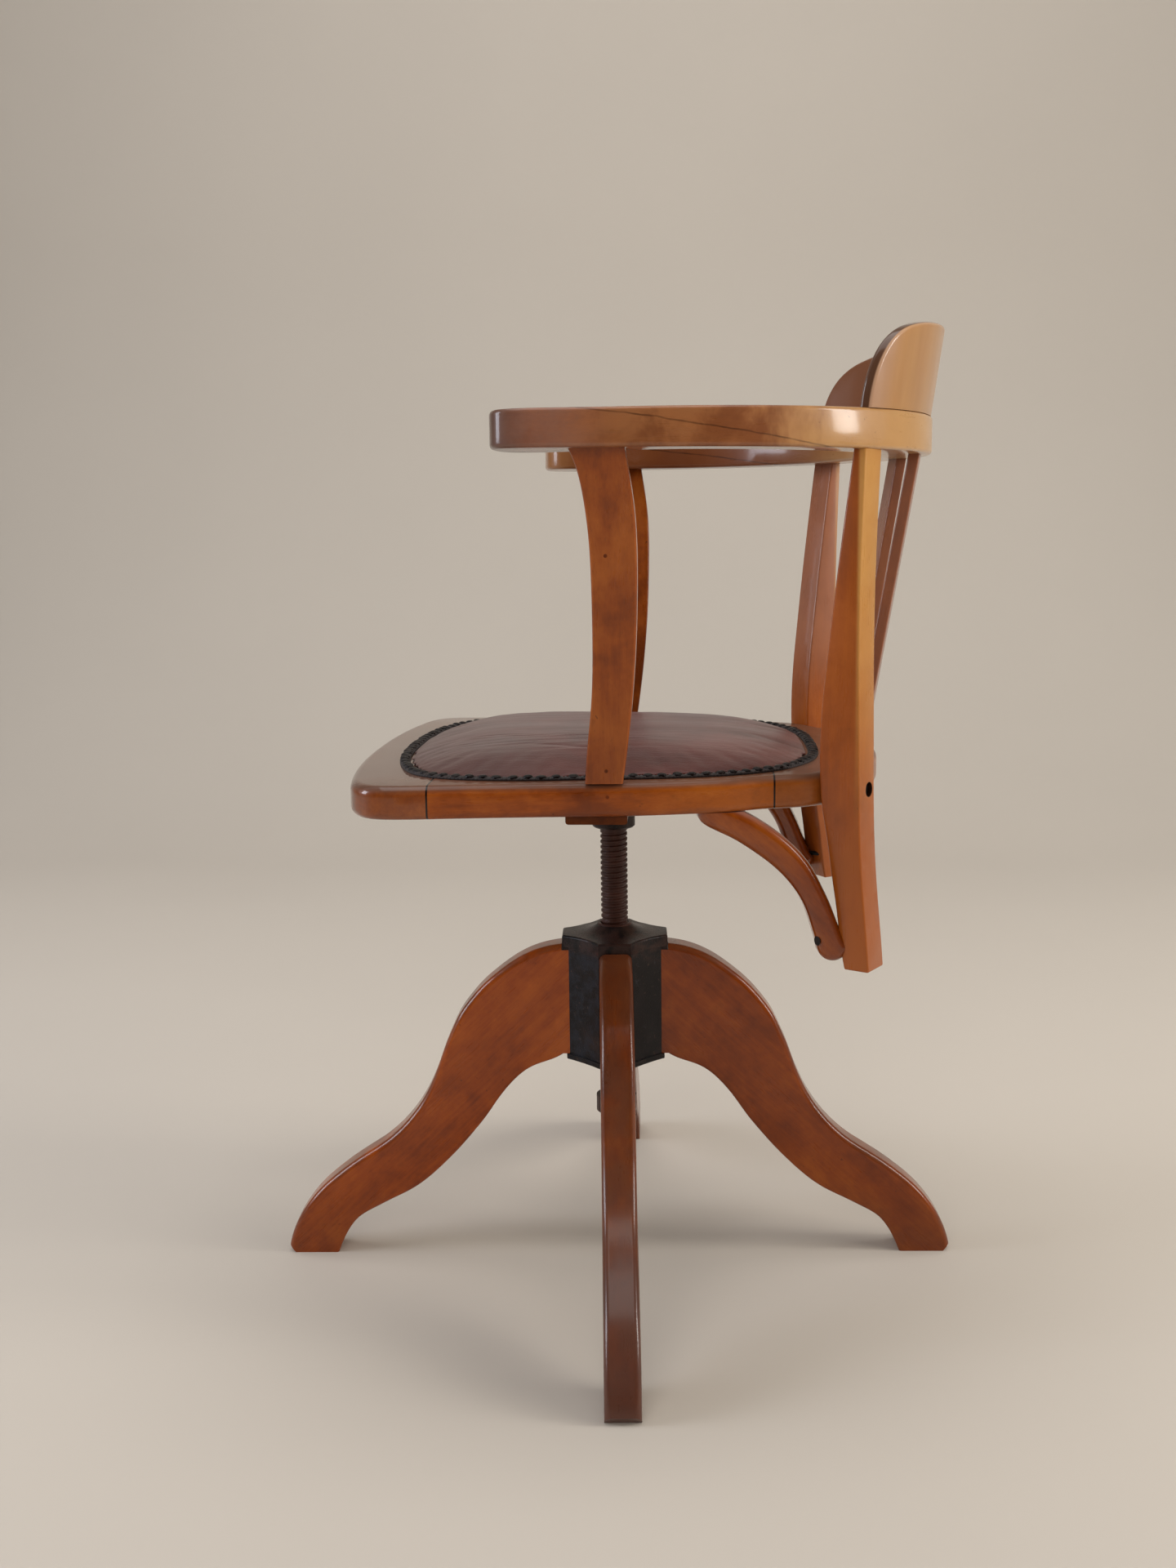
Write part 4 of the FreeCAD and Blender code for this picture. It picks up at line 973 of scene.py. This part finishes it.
for i, nm in enumerate(("front_arm_post_left", "front_arm_post_right")):
    paint(nm, wood("beech_" + nm, (0.12, 0, 1), seed=13.6 + i, figure=0.45, tint=apost_tint))
for i, nm in enumerate(("rear_post_left", "rear_post_right")):
    paint(nm, wood("beech_" + nm, (0, 0.02, 1), seed=16.3 + i, tint=post_tint, coat=0.55))
for i, nm in enumerate(("back_slat_left", "back_slat_right")):
    paint(nm, wood("beech_" + nm, (0, 0.17, 1), seed=19.3 + i, tint=slat_tint))
arm_wood = wood("beech_arms", polar=True, seed=22.3, tint=arm_tint, scarf=True, figure=0.8, coat=0.7,
                coat_rough=0.12, speck=0.5)
for nm in ("arm_left", "arm_right", "arm_back_bow"):
    paint(nm, arm_wood)
paint("crest_rail", wood("beech_crest", polar=True, seed=28.3, figure=0.25, tint=crest_tint, relief=0.12, spread=0.04, coat=0.7, speck=0.0,
                         coat_rough=0.14))
for i, nm in enumerate(("brace_left", "brace_right")):
    paint(nm, wood("beech_" + nm, (0, 0.7, -0.7), seed=30.3 + i, tone=shade(RED, 0.74), coat=1.0, coat_rough=0.12,
                   tint=brace_tint))
for i, nm in enumerate(("bearer_side", "bearer_fore_aft")):
    paint(nm, wood("beech_" + nm, (1, 0, 0) if i == 0 else (0, 1, 0), seed=33.3 + i, tone=shade(BROWN, 0.38),
                   rough=0.5, coat=0.05))
paint("seat_deck", wood("board_deck", (1, 0, 0), seed=36.1, tone=((0.30, 0.19, 0.10), (0.42, 0.28, 0.16), (0.5, 0.36, 0.22)),
                        rough=0.7, coat=0.0))
pin_wood = wood("beech_pins", (1, 0, 0), seed=38.1, tone=(DEEP, DEEP, DARK), rough=0.5, coat=0.1)
for nm in ("rail_dowels", "arm_dowels", "crest_dowels", "slat_dowels", "arm_post_pins"):
    paint(nm, pin_wood)

hub_iron = iron("hub_black_iron", (0.0036, 0.0027, 0.0029), (0.026, 0.012, 0.008), 0.70, 0.36, 0.0, 0.0, 0.0010, 0.50, 0.22,
                sided=True)
for nm in ("hub_sleeve", "hub_top_plate", "hub_bottom_plate", "seat_iron"):
    paint(nm, hub_iron)
paint("hub_nut", iron("nut_iron", (0.05, 0.045, 0.04), (0.09, 0.04, 0.02), 0.5, 0.5, 0.6, 1.3))
screw_steel = iron("screw_rusty_steel", (0.034, 0.0115, 0.0075), (0.066, 0.023, 0.013), 0.8, 0.42, 0.10, 2.1, 0.0, 0.10, 0.30)
for nm in ("spindle_stop_collar", "spindle_stop_pin", "spindle_washer"):
    paint(nm, screw_steel)
bolt_steel = iron("fastener_dark_steel", (0.012, 0.009, 0.008), (0.035, 0.015, 0.010), 0.5, 0.50, 0.5, 3.3, 0.0, 0.2, 0.3)
for nm in ("hub_clamp_bolts", "seat_iron_screws", "brace_screws", "rear_post_bolts"):
    paint(nm, bolt_steel)

make_pad(leather("seat_leather"))
make_braid(braid_material())
make_nails(iron("nail_heads", (0.006, 0.004, 0.0038), (0.026, 0.013, 0.009), 0.5, 0.40, 0.30, 4.4, 0.0, 0.2, 0.35))
make_screw(screw_steel)
